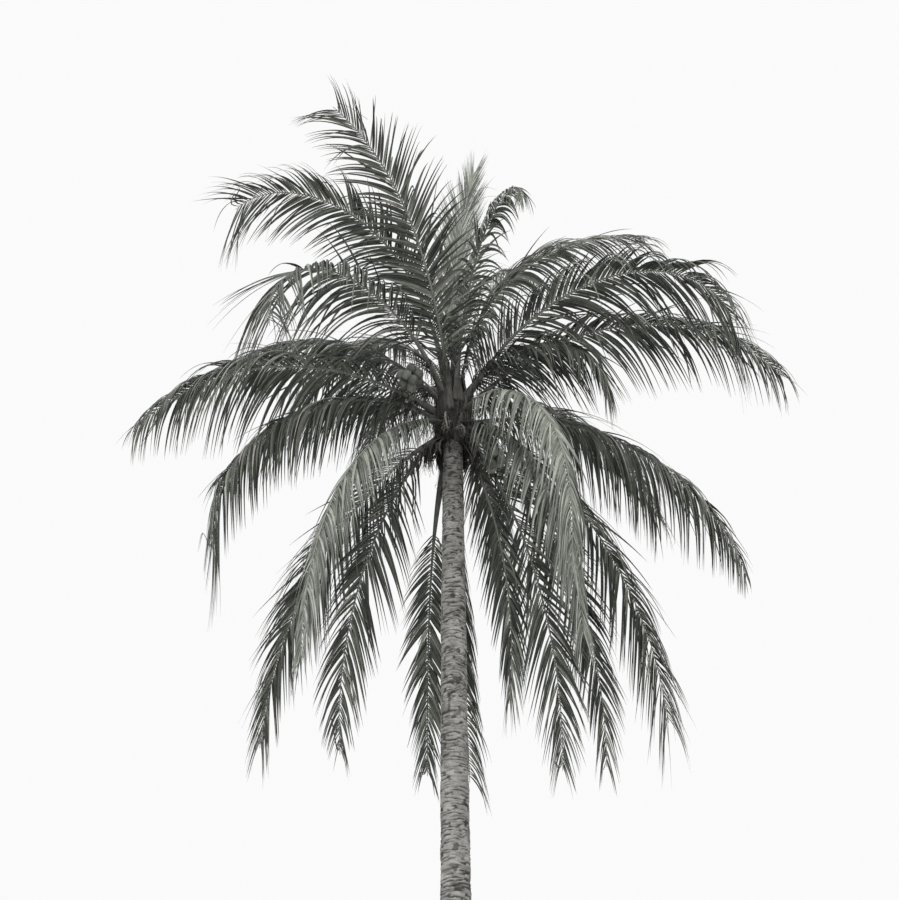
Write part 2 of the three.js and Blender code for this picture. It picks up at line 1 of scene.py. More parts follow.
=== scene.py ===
# A coconut palm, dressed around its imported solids. Metres and degrees, +Z up.
# The trunk gets its bark, the heart its sheaths and fibre, and each frond its rib and its fine
# leaflets, which follow the same rule as the solids' leaflets and reach as far.

import math
from dataclasses import dataclass

import bpy
import numpy as np
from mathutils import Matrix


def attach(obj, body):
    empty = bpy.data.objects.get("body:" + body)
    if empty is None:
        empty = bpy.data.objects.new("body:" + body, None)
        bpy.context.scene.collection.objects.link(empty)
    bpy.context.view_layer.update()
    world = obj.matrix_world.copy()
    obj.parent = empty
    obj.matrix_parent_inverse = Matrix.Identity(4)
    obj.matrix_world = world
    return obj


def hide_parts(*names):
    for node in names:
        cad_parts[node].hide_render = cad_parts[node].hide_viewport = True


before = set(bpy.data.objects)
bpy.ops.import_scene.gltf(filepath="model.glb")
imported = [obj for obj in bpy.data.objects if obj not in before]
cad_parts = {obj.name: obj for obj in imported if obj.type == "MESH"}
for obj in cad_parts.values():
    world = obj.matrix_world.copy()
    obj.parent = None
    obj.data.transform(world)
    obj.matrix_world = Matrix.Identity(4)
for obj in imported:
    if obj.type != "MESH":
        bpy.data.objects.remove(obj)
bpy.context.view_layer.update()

SCENE = bpy.context.scene
DOWN = np.array([0.0, 0.0, -1.0])
NOISE_END = 0.999999
CURVE_STEPS = 200
STEEP = 0.9

# The seeds of what is irregular. A frond adds its number to the fronds' seed.
SEEDS = {
    "bark": 11, "heart": 5, "fibre": 21, "tufts": 61, "old sheaths": 31, "nuts": 41,
    "flower stalks": 51, "spear": 77, "fronds": 1000,
}

# The trunk: height and radius, its lean to the crown's place, and the lobes of its foot.
CROWN = np.array([-0.138, 0.180, 13.350])
LEAN_EASE = 2.2
TRUNK_PROFILE = [
    (0, 0.345), (0.11, 0.305), (0.3, 0.258), (0.7, 0.218), (1.5, 0.194), (3.0, 0.181), (5.0, 0.172),
    (7.0, 0.164), (9.0, 0.156), (10.5, 0.148), (11.6, 0.139), (12.5, 0.130), (13.35, 0.123),
]
FOOT_HEIGHT = 1.1
FOOT_LOBES = 7
FOOT_LOBE_DEPTH = 0.09
TRUNK_TOP = CROWN[2] + 0.05
TRUNK_ROWS = 840
TRUNK_SIDES = 88

# The bark. Ring scars tilt and wander up the trunk, each a ledge with a cut above it.
SCAR_COUNT = 330
SCAR_GAPS = (0.030, 0.056)
SCAR_TILT = 0.016
SCAR_STRENGTH = 0.70
LEDGE_HEIGHT = 0.007
LEDGE_LEAST = 0.35
CUT_PLACE = 0.2
CUT_WIDTH = 0.19
CRACK_WIDTH = 0.08
CRACKED_RANGE = (0.2, 0.5)
PIT_RANGE = (0.42, 0.75)
# The depth of each kind of mark, and how dark its hollow is painted as shade. Then the painted shade
# under the crown at the trunk's top, and the darkest that painted shade and stains reach together.
CUT_DEPTH, CUT_SHADE = 0.005, 1.15
CRACK_DEPTH, CRACK_SHADE = 0.003, 0.3
PIT_DEPTH, PIT_SHADE = 0.004, 0.7
CROWN_SHADE = 0.30
CROWN_SHADE_HEIGHTS = (11.9, 12.9)
DARKEST_SHADE_AND_STAIN = 0.95
# The noise in it: its strength, and how many cells it has up the trunk and round it.
BARK_NOISE_HEIGHT = CROWN[2] + 0.06
BARK_NOISE = {
    "tilt": (9, 60, 3), "wander": (0.020, 380, 7), "fine wander": (0.011, 900, 20),
    "strength": (0.90, 420, 9), "crack": (1, 160, 60), "cracked": (1, 120, 14), "pit": (1, 300, 16),
    "lumps": (0.004, 90, 4), "fine lumps": (0.003, 240, 11), "rough": (0.0016, 1500, 60),
    "stain": (0.30, 150, 8), "fine stain": (0.42, 560, 18),
}

# The heart: height above the trunk's top and radius, and the folds of its surface.
HEART_PROFILE = [
    (0, 0.142), (0.09, 0.186), (0.26, 0.214), (0.48, 0.216), (0.68, 0.192), (0.86, 0.150),
    (1.02, 0.104), (1.15, 0.062), (1.21, 0.012),
]
HEART_TOP = HEART_PROFILE[-1][0]
HEART_ROWS = 60
HEART_SIDES = 96
HEART_SPAN = (-0.03, 1.205)
HEART_INSET = 0.012
HEART_LEAST_RADIUS = 0.004
HEART_NOISE_HEIGHT = 1.24
HEART_LUMPS = (0.012, 14, 9)
HEART_FOLDS = (0.006, 40, 40)

# The sheath below each frond's stalk. Pairs are at its foot and at its top.
SHEATH_STATIONS = 12
SHEATH_SIDES = 12
SHEATH_SEARCH = np.linspace(0, 0.2, 60)
SHEATH_PAST_STALK = 0.02
SHEATH_LIMITS = (-0.02, 1.1)
SHEATH_LENGTHS = (0.34, 0.5)
SHEATH_OUT = (0.004, 0.024)
SHEATH_HALF_WIDTHS = (0.105, 0.052)
SHEATH_WIDTH_RANGE = (0.9, 1.1)
SHEATH_HALF_DEPTHS = (0.006, 0.020)

# The fronds' ribs. Pairs are at the heart and at the tip, and the flare is where a rib clasps
# the heart.
SEAT_RADIUS_LOW = 0.175
SEAT_RADIUS_HIGH = 0.040
RIB_STEPS = 240
RIB_SIDES = 10
RIB_RINGS = 56
RIB_FOOT_RINGS = 13
RIB_FOOT_SHARE = 0.16
RIB_HALF_WIDTHS = (0.028, 0.004)
RIB_HALF_DEPTHS = (0.023, 0.004)
RIB_TAPER_POWER = 0.7
RIB_TOP_FLATNESS = 0.55
FLARE_HALF_WIDTH = 0.040
FLARE_HALF_DEPTH = 0.016
FLARE_PAST_BARE = 0.06
DARK_RIB_CLIMB = 6

# The leaflets' lengths along the rib, and their weight, as in the solids.
LEAF_END_SHARE = 0.985
LEAF_PEAK = 0.35
LEAF_START_LENGTH = 0.62
LEAF_FALL_POWER = 1.6
WEIGHT_ALONG_RIB = 0.3

# The fine leaflets. The widths of the first and last ones, and of a root and tip, are shares of
# the full width, and each span says where it goes over to that.
LEAF_SPACING = 0.038
LEAF_WIDTH = 0.038
SPEAR_LEAF_SPACING = 0.022
SPEAR_LEAF_WIDTH = 0.028
LEAF_STATIONS = 11
LEAF_RUN = np.linspace(0, 1, LEAF_STATIONS)
LEAF_THICKNESS = 0.003
LEAF_TIP_THICKNESS = 0.35
LEAF_FOLDS = (0.75, 0.35)
LEAF_BESIDE_RIB = (0.022, 0.002)
FIRST_LEAF_WIDTH = 0.72
FIRST_LEAF_SPAN = (0, 0.3)
LAST_LEAF_WIDTH = 0.5
LAST_LEAF_SPAN = (0.5, 1)
LEAF_ROOT_WIDTH = 0.5
LEAF_ROOT_SPAN = (0, 0.15)
LEAF_TAPER = 1.18
LEAF_TAPER_POWER = 0.9
LEAF_TIP_WIDTH = 0.02
PULL = 2.4
PULL_POWER = 1.2

# How leaflets differ: by clump and by leaflet, in lift, opening, hang, length and twist.
CLUMP_STRAY = np.array([4.0, 2.5, 0.16, 0.05, 8.0])[:, None]
OWN_STRAY = np.array([2.5, 2.0, 0.10, 0.05, 12.0])[:, None]
CLUMP_SIZES = (2, 6)
CLUMP_CLOSENESS = 0.25
CLUMP_SPAN = (0.1, 0.7)
SPACING_STRAY = 0.3
TWIST_GAIN = 26
WIDTH_RANGE = (0.85, 1.1)
HANG_RANGE = (0.4, 1.8)
LENGTH_MIDDLE = 0.96
LENGTH_RANGE = (0.8, 1.04)
STIFF_SHARE = 0.07
STIFF_LIFT = 12
STIFF_OPENING = 0.6
STIFF_HANG = 0.25
LIMP_SHARE = 0.04
LIMP_HANG = 1.8
LIMP_HANG_MORE = 0.8
TORN_SHARE = 0.06
TORN_LENGTHS = (0.35, 0.8)
STEM_CLEARANCE = 0.03

# How the leaf tones are dealt out: round a middle tone, with painted shade near the heart, some paler
# ones as painted highlights, and a few dry.
TONE_MIDDLE = 0.9
TONE_STRAY = 1.1
FROND_TONE_STRAY = 0.25
INNER_SHADE = 1.2
INNER_SHADE_REACH = 0.3
HIGHLIGHT_SHARE = 0.14
HIGHLIGHT_BY = 1.6
DRY_SHARE = 0.025


@dataclass
class Frond:
    """One frond: where it points, how it bends, and how its leaflets stand and hang."""

    turn: float  # from +X towards +Y, at the heart
    climb: float  # above the level, at the heart
    bend: float  # how far it has bent over by its tip
    ease: float  # how late that bend comes
    length: float
    seat: float  # height of its seat above the trunk's top
    swing: float = 0  # how far its turn changes by its tip
    leaf: float = 1.12  # its longest leaflet
    bare: float = 0.115  # the share of its rib without leaflets
    open: float = 52  # between its first leaflets and its rib
    closing: float = 0.5  # the share of that opening lost by its tip
    tip: float = 0.5  # its last leaflet as a share of its longest
    lift: float = 0  # of its leaflets above the rib
    hang: float = 0.6  # how strongly its leaflets bend down
    roll: float = 0  # of its blade about its rib
    radius: float = None  # from the heart's middle to its seat, where its climb doesn't set it
    tone: float = 0.0  # how pale it is
    thin: float = 0.0  # the share of its leaflets that are missing


UPRIGHT = [
    Frond(250, 70, 70, 1.8, 4.3, 0.64, swing=-20, leaf=1.1, open=58, closing=0.45, tip=0.7, lift=4,
          hang=0.5, roll=20, tone=0.4),
    Frond(225, 77, 138, 1.8, 4.8, 0.68, swing=-25, leaf=0.95, bare=0.18, closing=0.3, tip=1.1, lift=8,
          roll=30, tone=0.5),
    Frond(0, 83, 96, 1.6, 4.4, 0.66, leaf=1.1, bare=0.09, lift=2, hang=0.9, roll=3, tone=1.2),
    Frond(291, 77, 158, 2.2, 3.9, 0.64, leaf=0.65, tip=0.8, hang=2.2, tone=1.4, thin=0.2),
    Frond(50, 86, 82, 1.8, 4.3, 0.79, leaf=0.6, bare=0.3, lift=14, hang=1.2, tone=0.8, thin=0.3),
    Frond(135, 74, 115, 1.4, 4.2, 0.64, leaf=1.0, lift=6, hang=0.8),
]
ARCHING = [
    Frond(330, 58, 138, 1.3, 4.9, 0.5, leaf=1.35, bare=0.09, tip=1.0, lift=8, hang=1.0, roll=-30,
          tone=0.2),
    Frond(351, 50, 112, 1.3, 4.85, 0.45, leaf=1.2, bare=0.09, tip=0.6, lift=6, hang=1.3, roll=-24),
    Frond(165, 62, 108, 1.2, 4.6, 0.54, leaf=1.1, hang=1.6),
    Frond(186, 38, 99, 1.15, 4.45, 0.42, leaf=1.4, tip=0.35, lift=8, hang=1.5, roll=30, tone=0.3),
    Frond(177, 48, 150, 0.88, 4.45, 0.3, leaf=1.1, closing=0, tip=1.0, lift=-4, hang=3, tone=0.6),
    Frond(13, 23, 102, 1.05, 4.7, 0.33, leaf=1.35, closing=0.35, tip=0.2, lift=-3, hang=2.0),
    Frond(222, 64, 166, 1.35, 4.25, 0.56, leaf=1.5, bare=0.22, closing=0.1, tip=0.8, lift=2, hang=1.4,
          tone=0.2),
    Frond(155, 44, 98, 1.2, 3.9, 0.4, hang=1.6),
    Frond(112, 62, 95, 1.2, 4.6, 0.52, lift=-2, hang=1.4),
    Frond(80, 45, 95, 1.2, 4.6, 0.4, lift=-4, hang=1.6),
    Frond(34, 42, 110, 1.2, 3.9, 0.49, leaf=1.3, hang=1.8),
    Frond(337, 61, 160, 1.1, 2.9, 0.62, leaf=1.0, bare=0.09, lift=2, hang=1.6),
]
HANGING = [
    Frond(222, 8, 100, 0.4, 4.9, 0.23, leaf=1.0, bare=0.06, lift=-6, hang=2.4, tone=1.5),
    Frond(305, 32, 135, 0.5, 4.6, 0.34, leaf=1.0, bare=0.06, lift=-6, hang=2.6, tone=1.6),
    Frond(310, 0, 88, 0.4, 4.6, 0.21, leaf=1.0, bare=0.07, lift=-6, hang=2.4, tone=1.4),
    Frond(138, 9, 97, 0.74, 5.1, 0.19, leaf=1.25, bare=0.08, closing=0.65, lift=4, hang=0.8, tone=0.4),
    Frond(124, 17, 118, 0.62, 4.95, 0.28, leaf=1.15, bare=0.16, open=54, closing=0.6, tip=0.35, lift=-4,
          hang=0.9, tone=0.4, thin=0.15),
    Frond(102, -6, 83, 0.7, 4.6, 0.12, swing=-15, leaf=0.75, bare=0.3, closing=0.6, tip=0.7, lift=4,
          hang=0.7, tone=0.3),
    Frond(90, 5, 82, 0.8, 5.25, 0.24, swing=-9, leaf=0.8, bare=0.26, open=24, closing=-1.1, tip=0.9,
          lift=4, hang=2.4, tone=0.2),
    Frond(62, 7, 114, 0.55, 3.85, 0.17, swing=5, leaf=0.9, bare=0.12, closing=0.85, tip=0.7, lift=4,
          hang=1.2, tone=0.3, thin=0.2),
    Frond(56, 16, 112, 0.5, 4.95, 0.27, leaf=1.25, closing=0.6, tip=0.4, lift=4, hang=0.7, tone=0.2,
          thin=0.2),
    Frond(48, 21, 116, 0.55, 5.3, 0.36, leaf=1.1, closing=0.65, lift=4, hang=0.8, tone=0.4, thin=0.22),
    Frond(38, 21, 107, 0.65, 5.25, 0.41, leaf=1.25, bare=0.16, open=46, closing=0.2, tip=0.8, hang=1.1,
          roll=16, tone=0.4, thin=0.1),
]
SPEAR = Frond(0, 91, 14, 1.6, 3.95, 0.86, open=19, closing=0.3, tip=0.45, lift=2, hang=0, roll=90,
              radius=0.014)

# Strands of fibre: how they swerve, ripple, bow out and lean, and their thickness.
STRAND_STATIONS = 8
STRAND_SWERVE = 0.05
STRAND_RIPPLE = 0.004
STRAND_BOW_ARC = 2.0
STRAND_LEAN = 0.35
STRAND_CLEARANCE = 0.006
STRAND_THICKNESS = 0.0022
STRAND_FOLD = 0.2
STRAND_END_WIDTH = 0.25
STRAND_WIDTH_SPAN = (0.12, 1.02)
STRAND_WIDTH_POWER = 0.6
SWAY = 0.02

# Fibre on the heart, fine and then in strips. Ranges are in metres, tops above the trunk's top.
HEART_FIBRE = [
    {"count": 420, "tops": (-0.02, 0.75), "out": (0.0, 0.02), "lengths": (0.12, 0.34),
     "bows": (0.0, 0.03), "widths": (0.003, 0.008), "tones": 2},
    {"count": 70, "tops": (0.0, 0.6), "out": (0.0, 0.015), "lengths": (0.12, 0.3),
     "bows": (0.0, 0.02), "widths": (0.02, 0.05), "tones": 1},
]

# Tufts of torn fibre under each frond's foot. Pairs are ranges, but for the taper's two ends and
# the shortening, which is a start and its loss along the rib.
TUFT_COUNT = 46
TUFT_STATIONS = 6
TUFT_SHARES = (0.02, 0.17)
TUFT_BESIDE = 0.05
TUFT_ALONG_RIB = (-0.2, 0.5)
TUFT_SCATTER = 0.18
TUFT_LENGTHS = (0.12, 0.5)
TUFT_SHORTENING = (1.2, 4)
TUFT_SHORTEST = 0.3
TUFT_WAVES = 4
TUFT_HALF_WIDTHS = (0.003, 0.011)
TUFT_TAPER = (1.0, 0.25)
TUFT_FACING = [1, 1, 0.1]

# Old sheaths, as turn, width, drop and spread, and the strips and strands that each is torn into,
# as how many and how wide.
TONGUES = [
    (195, 0.150, 0.46, 0.34), (353, 0.150, 0.46, 0.30), (47, 0.098, 0.35, 0.09),
    (95, 0.098, 0.38, 0.08), (141, 0.096, 0.37, 0.09),
]
TONGUE_STRIPS = [(26, (0.018, 0.050)), (70, (0.003, 0.008))]
TONGUE_START_RADIUS = 0.150
TONGUE_START_STRAY = (-0.02, 0.04)
TONGUE_TOPS = (-0.02, 0.04)
TONGUE_LENGTHS = (0.45, 1.0)
TONGUE_BOW = 0.6
TONGUE_BOW_RANGE = (0.6, 1.1)

# Nuts, packed round the end of a bent stalk. A bend is shares of its reach and of its rise, and
# the guide is a direction that no nut points in.
NUT_BUNCHES = [
    {"turn": 205, "seat": 0.50, "reach": 0.60, "rise": 0.50, "sag": 0.13, "nuts": 12},
    {"turn": 22, "seat": 0.18, "reach": 0.56, "rise": 0.06, "sag": 0.33, "nuts": 8},
]
NUT_STALK_TUBE = {"radius": 0.017, "taper": (1.1, 0.7), "stations": 24, "sides": 10}
NUT_STALK_START = 0.09
NUT_STALK_BENDS = [(0.55, 0.8), (0.9, 0.85)]
NUT_RADIUS = 0.068
NUT_LENGTHENING = 1.06
NUT_EGG_SHAPE = 0.06
NUT_RIDGE = 0.028
NUT_RIDGES = 3
NUT_ROWS = 14
NUT_SIDES = 24
NUT_POLE_GAP = 0.02
NUT_SPREAD = 1.7
NUT_POINTING = np.array([1, 1, 0.6])
NUT_DROP = np.array([0, 0, -0.5])
NUT_GUIDE = [0.3, 0.9, 0.1]
GOLDEN_ANGLE = 137.5
CALYX_SPAN = (0.86, 1.16)
CALYX_RADII = np.array([0.030, 0.034, 0.030, 0.018, 0.007])
CALYX_SIDES = 12

# Flower stalks, as turn, seat, reach and drop, with short branches near the end.
FLOWER_STALKS = [(244, 0.36, 0.35, 0.33), (292, 0.17, 0.30, 0.15), (325, 0.19, 0.40, 0.36)]
FLOWER_STALK_TUBE = {"radius": 0.016, "taper": (1.25, 0.6), "stations": 20, "sides": 8}
STALK_START = 0.12
STALK_RISE = 0.04
STALK_SHOULDER = 0.75
STALK_MIDDLE_DROP = 0.45
STALK_MIDDLE_SWING = 8
STALK_END_REACH = 0.85
STALK_END_SWING = 14
BRANCH_COUNT = 14
BRANCH_SHARES = (0.55, 0.97)
BRANCH_SCATTER = 0.6
BRANCH_LENGTHS = (0.08, 0.2)
BRANCH_WAVES = 5
BRANCH_RADIUS = 0.0035
BRANCH_TAPER = (1, 0.4)
BRANCH_STATIONS = 7
BRANCH_SIDES = 5

# Floor, light and camera. A lamp is its name, strength, softness and turn.
FLOOR_HALF = 120.0
SKY_LIGHT = 0.68
SKY_SEEN = 0.96
LAMPS = [("key", 2.2, 22, (38, 0, -25)), ("fill", 0.7, 60, (62, 0, 40))]
CAMERA_PLACE = (-0.182, -16.839, 1.343)
CAMERA_TILT = 35
CAMERA_LENS = 65.7
CAMERA_SENSOR = 36.0
CAMERA_RANGE = (0.1, 1000.0)


# Arithmetic on arrays of points

def seeded(name, number=0):
    return np.random.default_rng(SEEDS[name] + number)


def unit(vectors):
    return vectors / np.linalg.norm(vectors, axis=-1, keepdims=True)


def square_to(vectors, along):
    """The part of each vector that is square to a direction, at unit length."""
    return unit(vectors - along * (vectors * along).sum(-1, keepdims=True))


def turned(vectors, axis, angle):
    """Vectors that are square to an axis, turned about it by an angle in radians."""
    angle = np.asarray(angle)[..., None]
    return vectors * np.cos(angle) + np.cross(axis, vectors) * np.sin(angle)


def lerp(low, high, share):
    return low + (high - low) * share


def smoothstep(low, high, value):
    share = np.clip((value - low) / (high - low), 0, 1)
    return share * share * (3 - 2 * share)


def tangents(paths):
    return unit(np.gradient(paths, axis=-2))


def around(sides):
    """The angles of a ring's corners, in radians."""
    return 2 * np.pi * np.arange(sides) / sides


def upright_points(middle, radius, turn, height):
    """Points at a radius and a turn round an upright line through middle."""
    return np.stack([
        middle[..., 0] + radius * np.cos(turn),
        middle[..., 1] + radius * np.sin(turn),
        np.broadcast_to(height, radius.shape),
    ], -1)


def crown_point(turn, radius, height):
    angle = math.radians(turn)
    return CROWN + np.array([radius * math.cos(angle), radius * math.sin(angle), height])


def soft_noise(rng, noise, u, v):
    """Smooth noise at u from 0 to 1, repeating once round in v. It is given as its strength and
    its numbers of cells along u and round v."""
    strength, rows, columns = noise
    grid = rng.uniform(-1, 1, (rows + 1, columns))
    x = np.clip(u, 0, NOISE_END) * rows
    y = (v % 1.0) * columns
    i, j = x.astype(int), y.astype(int)
    fx, fy = smoothstep(0, 1, x - i), smoothstep(0, 1, y - j)
    right = (j + 1) % columns
    low = lerp(grid[i, j % columns], grid[i, right], fy)
    high = lerp(grid[i + 1, j % columns], grid[i + 1, right], fy)
    return strength * lerp(low, high, fx)


def curve_through(points, share):
    """Points of a cubic Bezier curve, at shares of its length."""
    t = np.linspace(0, 1, CURVE_STEPS + 1)[:, None]
    a, b, c, d = points
    dense = a * (1 - t) ** 3 + 3 * b * t * (1 - t) ** 2 + 3 * c * t ** 2 * (1 - t) + d * t ** 3
    gaps = np.linalg.norm(np.diff(dense, axis=0), axis=-1)
    run = np.concatenate([[0], np.cumsum(gaps)])
    run /= run[-1]
    return np.stack([np.interp(share, run, dense[:, axis]) for axis in range(3)], -1)


def swaying(rng, count, run, waves):
    """What is added to so many straight strands to make them wave."""
    return rng.normal(0, SWAY, (count, 1, 3)) * np.sin(waves * run)[None, :, None]


def straight_paths(roots, headings, lengths, run):
    return roots[:, None] + headings[:, None] * (lengths[:, None] * run)[..., None]


# Meshes

def make_piece(name, points, faces, materials, face_materials=None, smooth=False, uvs=None):
    """A mesh object from corner points and arrays of faces, each array of one face size."""
    mesh = bpy.data.meshes.new(name)
    corners = np.concatenate([group.ravel() for group in faces]).astype(np.int32)
    sizes = np.concatenate([np.full(len(group), group.shape[1]) for group in faces])
    starts = np.concatenate([[0], np.cumsum(sizes)[:-1]]).astype(np.int32)
    mesh.vertices.add(len(points))
    mesh.vertices.foreach_set("co", np.asarray(points, np.float32).ravel())
    mesh.loops.add(len(corners))
    mesh.loops.foreach_set("vertex_index", corners)
    mesh.polygons.add(len(sizes))
    mesh.polygons.foreach_set("loop_start", starts)
    if face_materials is not None:
        mesh.polygons.foreach_set("material_index", np.asarray(face_materials, np.int32))
    rounded = np.zeros(len(sizes), bool)
    rounded[:len(faces[0])] = smooth
    mesh.polygons.foreach_set("use_smooth", rounded)
    mesh.update(calc_edges=True)
    if uvs is not None:
        layer = mesh.uv_layers.new(name="along")
        layer.data.foreach_set("uv", np.asarray(uvs, np.float32)[corners].ravel())
    mesh.validate()
    for material in materials:
        mesh.materials.append(material)
    piece = bpy.data.objects.new(name, mesh)
    SCENE.collection.objects.link(piece)
    return piece


class Batch:
    """Closed tubes and blades gathered from arrays of rings, to be joined into one piece."""

    def __init__(self):
        self.points, self.walls, self.caps = [], [], {}
        self.wall_tones, self.cap_tones, self.uvs = [], {}, []
        self.count = 0

    def add(self, rings, tones=0):
        """rings is (how many, rings in each, corners in a ring, 3), its corners turning
        anticlockwise seen from the tip, and tones is a material number for each."""
        how_many, rows, sides, _ = rings.shape
        tones = np.broadcast_to(tones, (how_many,))
        number = np.arange(how_many * rows * sides).reshape(how_many, rows, sides) + self.count
        near, far = number[:, :-1], number[:, 1:]
        walls = np.stack([near, np.roll(near, -1, 2), np.roll(far, -1, 2), far], -1)
        self.walls.append(walls.reshape(-1, 4))
        self.wall_tones.append(np.repeat(tones, (rows - 1) * sides))
        self.caps.setdefault(sides, []).append(number[:, 0, ::-1])
        self.caps[sides].append(number[:, -1])
        self.cap_tones.setdefault(sides, []).extend([tones, tones])
        self.points.append(rings.reshape(-1, 3))
        across = 0.5 - 0.5 * np.cos(around(sides))
        grid = np.stack(np.meshgrid(np.linspace(0, 1, rows), across, indexing="ij"), -1)[..., ::-1]
        self.uvs.append(np.tile(grid.reshape(-1, 2), (how_many, 1)))
        self.count += how_many * rows * sides

    def piece(self, name, slot, materials, smooth=False, replaces=()):
        faces = [np.concatenate(self.walls)]
        tones = [np.concatenate(self.wall_tones)]
        for sides, caps in self.caps.items():
            faces.append(np.concatenate(caps))
            tones.append(np.concatenate(self.cap_tones[sides]))
        made = make_piece(
            name, np.concatenate(self.points), faces, materials,
            np.concatenate(tones), smooth, np.concatenate(self.uvs),
        )
        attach(made, "root")
        if replaces:
            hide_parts(*replaces)
        return made


def round_rings(paths, radii, sides):
    """Rings of a round tube along each path. radii is a row of radii for each."""
    along = tangents(paths)
    upright = np.where(np.abs(along[..., 2:]) > STEEP, [1.0, 0, 0], [0, 0, 1.0])
    sideways = square_to(np.cross(upright, along), along)
    above = np.cross(along, sideways)
    angle = around(sides)[:, None]
    ring = sideways[..., None, :] * np.cos(angle) + above[..., None, :] * np.sin(angle)
    return paths[..., None, :] + np.asarray(radii)[..., None, None] * ring


def blade_rings(paths, sideways, half_widths, fold, thickness):
    """Four-cornered rings of thin folded blades: one edge, the ridge, the other edge, the keel."""
    along = tangents(paths)
    sideways = square_to(sideways, along)
    above = np.cross(along, sideways)
    wide = half_widths[..., None]
    thick = np.broadcast_to(thickness, half_widths.shape)[..., None] / 2
    edge = paths - above * (wide * fold)
    aside, up = sideways * wide, above * thick
    return np.stack([edge + aside, paths + up, edge - aside, paths - up], -2)


# Finishes

def add_node(tree, kind, inputs=None, **settings):
    made = tree.nodes.new(kind)
    for key, value in settings.items():
        setattr(made, key, value)
    for key, value in (inputs or {}).items():
        if isinstance(value, bpy.types.NodeSocket):
            tree.links.new(value, made.inputs[key])
        else:
            made.inputs[key].default_value = value
    return made


def shade(colour, factor):
    return tuple(min(1.0, part * factor) for part in colour) + (1.0,)


def base_finish(name, roughness, specular):
    material = bpy.data.materials.new(name)
    material.use_nodes = True
    tree = material.node_tree
    shader = tree.nodes["Principled BSDF"]
    shader.inputs["Roughness"].default_value = roughness
    shader.inputs["Specular IOR Level"].default_value = specular
    return material, tree, shader


def mottled(tree, colour, vector, low, high, scale, detail):
    """A colour that noise carries between a darker and a paler shade of itself."""
    noise = add_node(tree, "ShaderNodeTexNoise", {"Vector": vector, "Scale": scale, "Detail": detail})
    ramp = add_node(tree, "ShaderNodeValToRGB", {"Fac": noise.outputs["Fac"]})
    ramp.color_ramp.elements[0].position = 0.32
    ramp.color_ramp.elements[1].position = 0.68
    ramp.color_ramp.elements[0].color = shade(colour, low)
    ramp.color_ramp.elements[1].color = shade(colour, high)
    return ramp.outputs["Color"], noise.outputs["Fac"]


def mixed(tree, first, second, factor=1.0, blend="MULTIPLY"):
    mix = add_node(
        tree, "ShaderNodeMix", {"Factor": factor, "A": first, "B": second},
        data_type="RGBA", blend_type=blend,
    )
    return mix.outputs["Result"]


def finish_with(tree, shader, colour, height, strength, depth):
    """Gives a shader its colour and its fine relief, which is depth metres deep."""
    tree.links.new(colour, shader.inputs["Base Color"])
    bump = add_node(tree, "ShaderNodeBump", {"Height": height, "Strength": strength, "Distance": depth})
    tree.links.new(bump.outputs["Normal"], shader.inputs["Normal"])


def leaf_finish(name, colour, roughness=0.42):
    """A leaf blade: faint mottling and fine veins along it."""
    material, tree, shader = base_finish(name, roughness, specular=0.5)
    place = add_node(tree, "ShaderNodeTexCoord")
    blotches, _ = mottled(
        tree, colour, place.outputs["Object"], low=0.84, high=1.18, scale=9.0, detail=4.0,
    )
    veins = add_node(
        tree, "ShaderNodeTexWave",
        {"Vector": place.outputs["UV"], "Scale": 5.0, "Distortion": 1.2, "Detail": 2.0},
        bands_direction="X",
    ).outputs["Fac"]
    streaked = mixed(tree, blotches, (0.86, 0.88, 0.84, 1), factor=veins)
    finish_with(tree, shader, streaked, veins, strength=0.25, depth=0.002)
    return material


def woody_finish(name, colour, roughness, scale, stretch, depth, contrast, foot_painted_shade=False):
    """Stems, fibre and husk: noise drawn out along the height, in colour and in relief. A frond's rib
    gets painted shade where its foot clasps the heart, which fades out by the first leaflets."""
    material, tree, shader = base_finish(name, roughness, specular=0.35)
    place = add_node(tree, "ShaderNodeTexCoord")
    drawn = add_node(
        tree, "ShaderNodeMapping", {"Vector": place.outputs["Object"], "Scale": (1.0, 1.0, stretch)},
    ).outputs["Vector"]
    tone, _ = mottled(tree, colour, drawn, low=1 - contrast, high=1 + contrast, scale=scale, detail=6.0)
    if foot_painted_shade:
        # Painted shade on the rib's foot by the heart, fading along the rib.
        along = add_node(tree, "ShaderNodeSeparateXYZ", {"Vector": place.outputs["UV"]})
        ramp = add_node(tree, "ShaderNodeValToRGB", {"Fac": along.outputs["Y"]})
        ramp.color_ramp.elements[0].color = (0.26, 0.25, 0.24, 1)
        ramp.color_ramp.elements[1].position = 0.42
        tone = mixed(tree, tone, ramp.outputs["Color"])
    grain = add_node(tree, "ShaderNodeTexNoise", {"Vector": drawn, "Scale": scale * 3, "Detail": 5.0})
    finish_with(tree, shader, tone, grain.outputs["Fac"], strength=0.6, depth=depth)
    return material


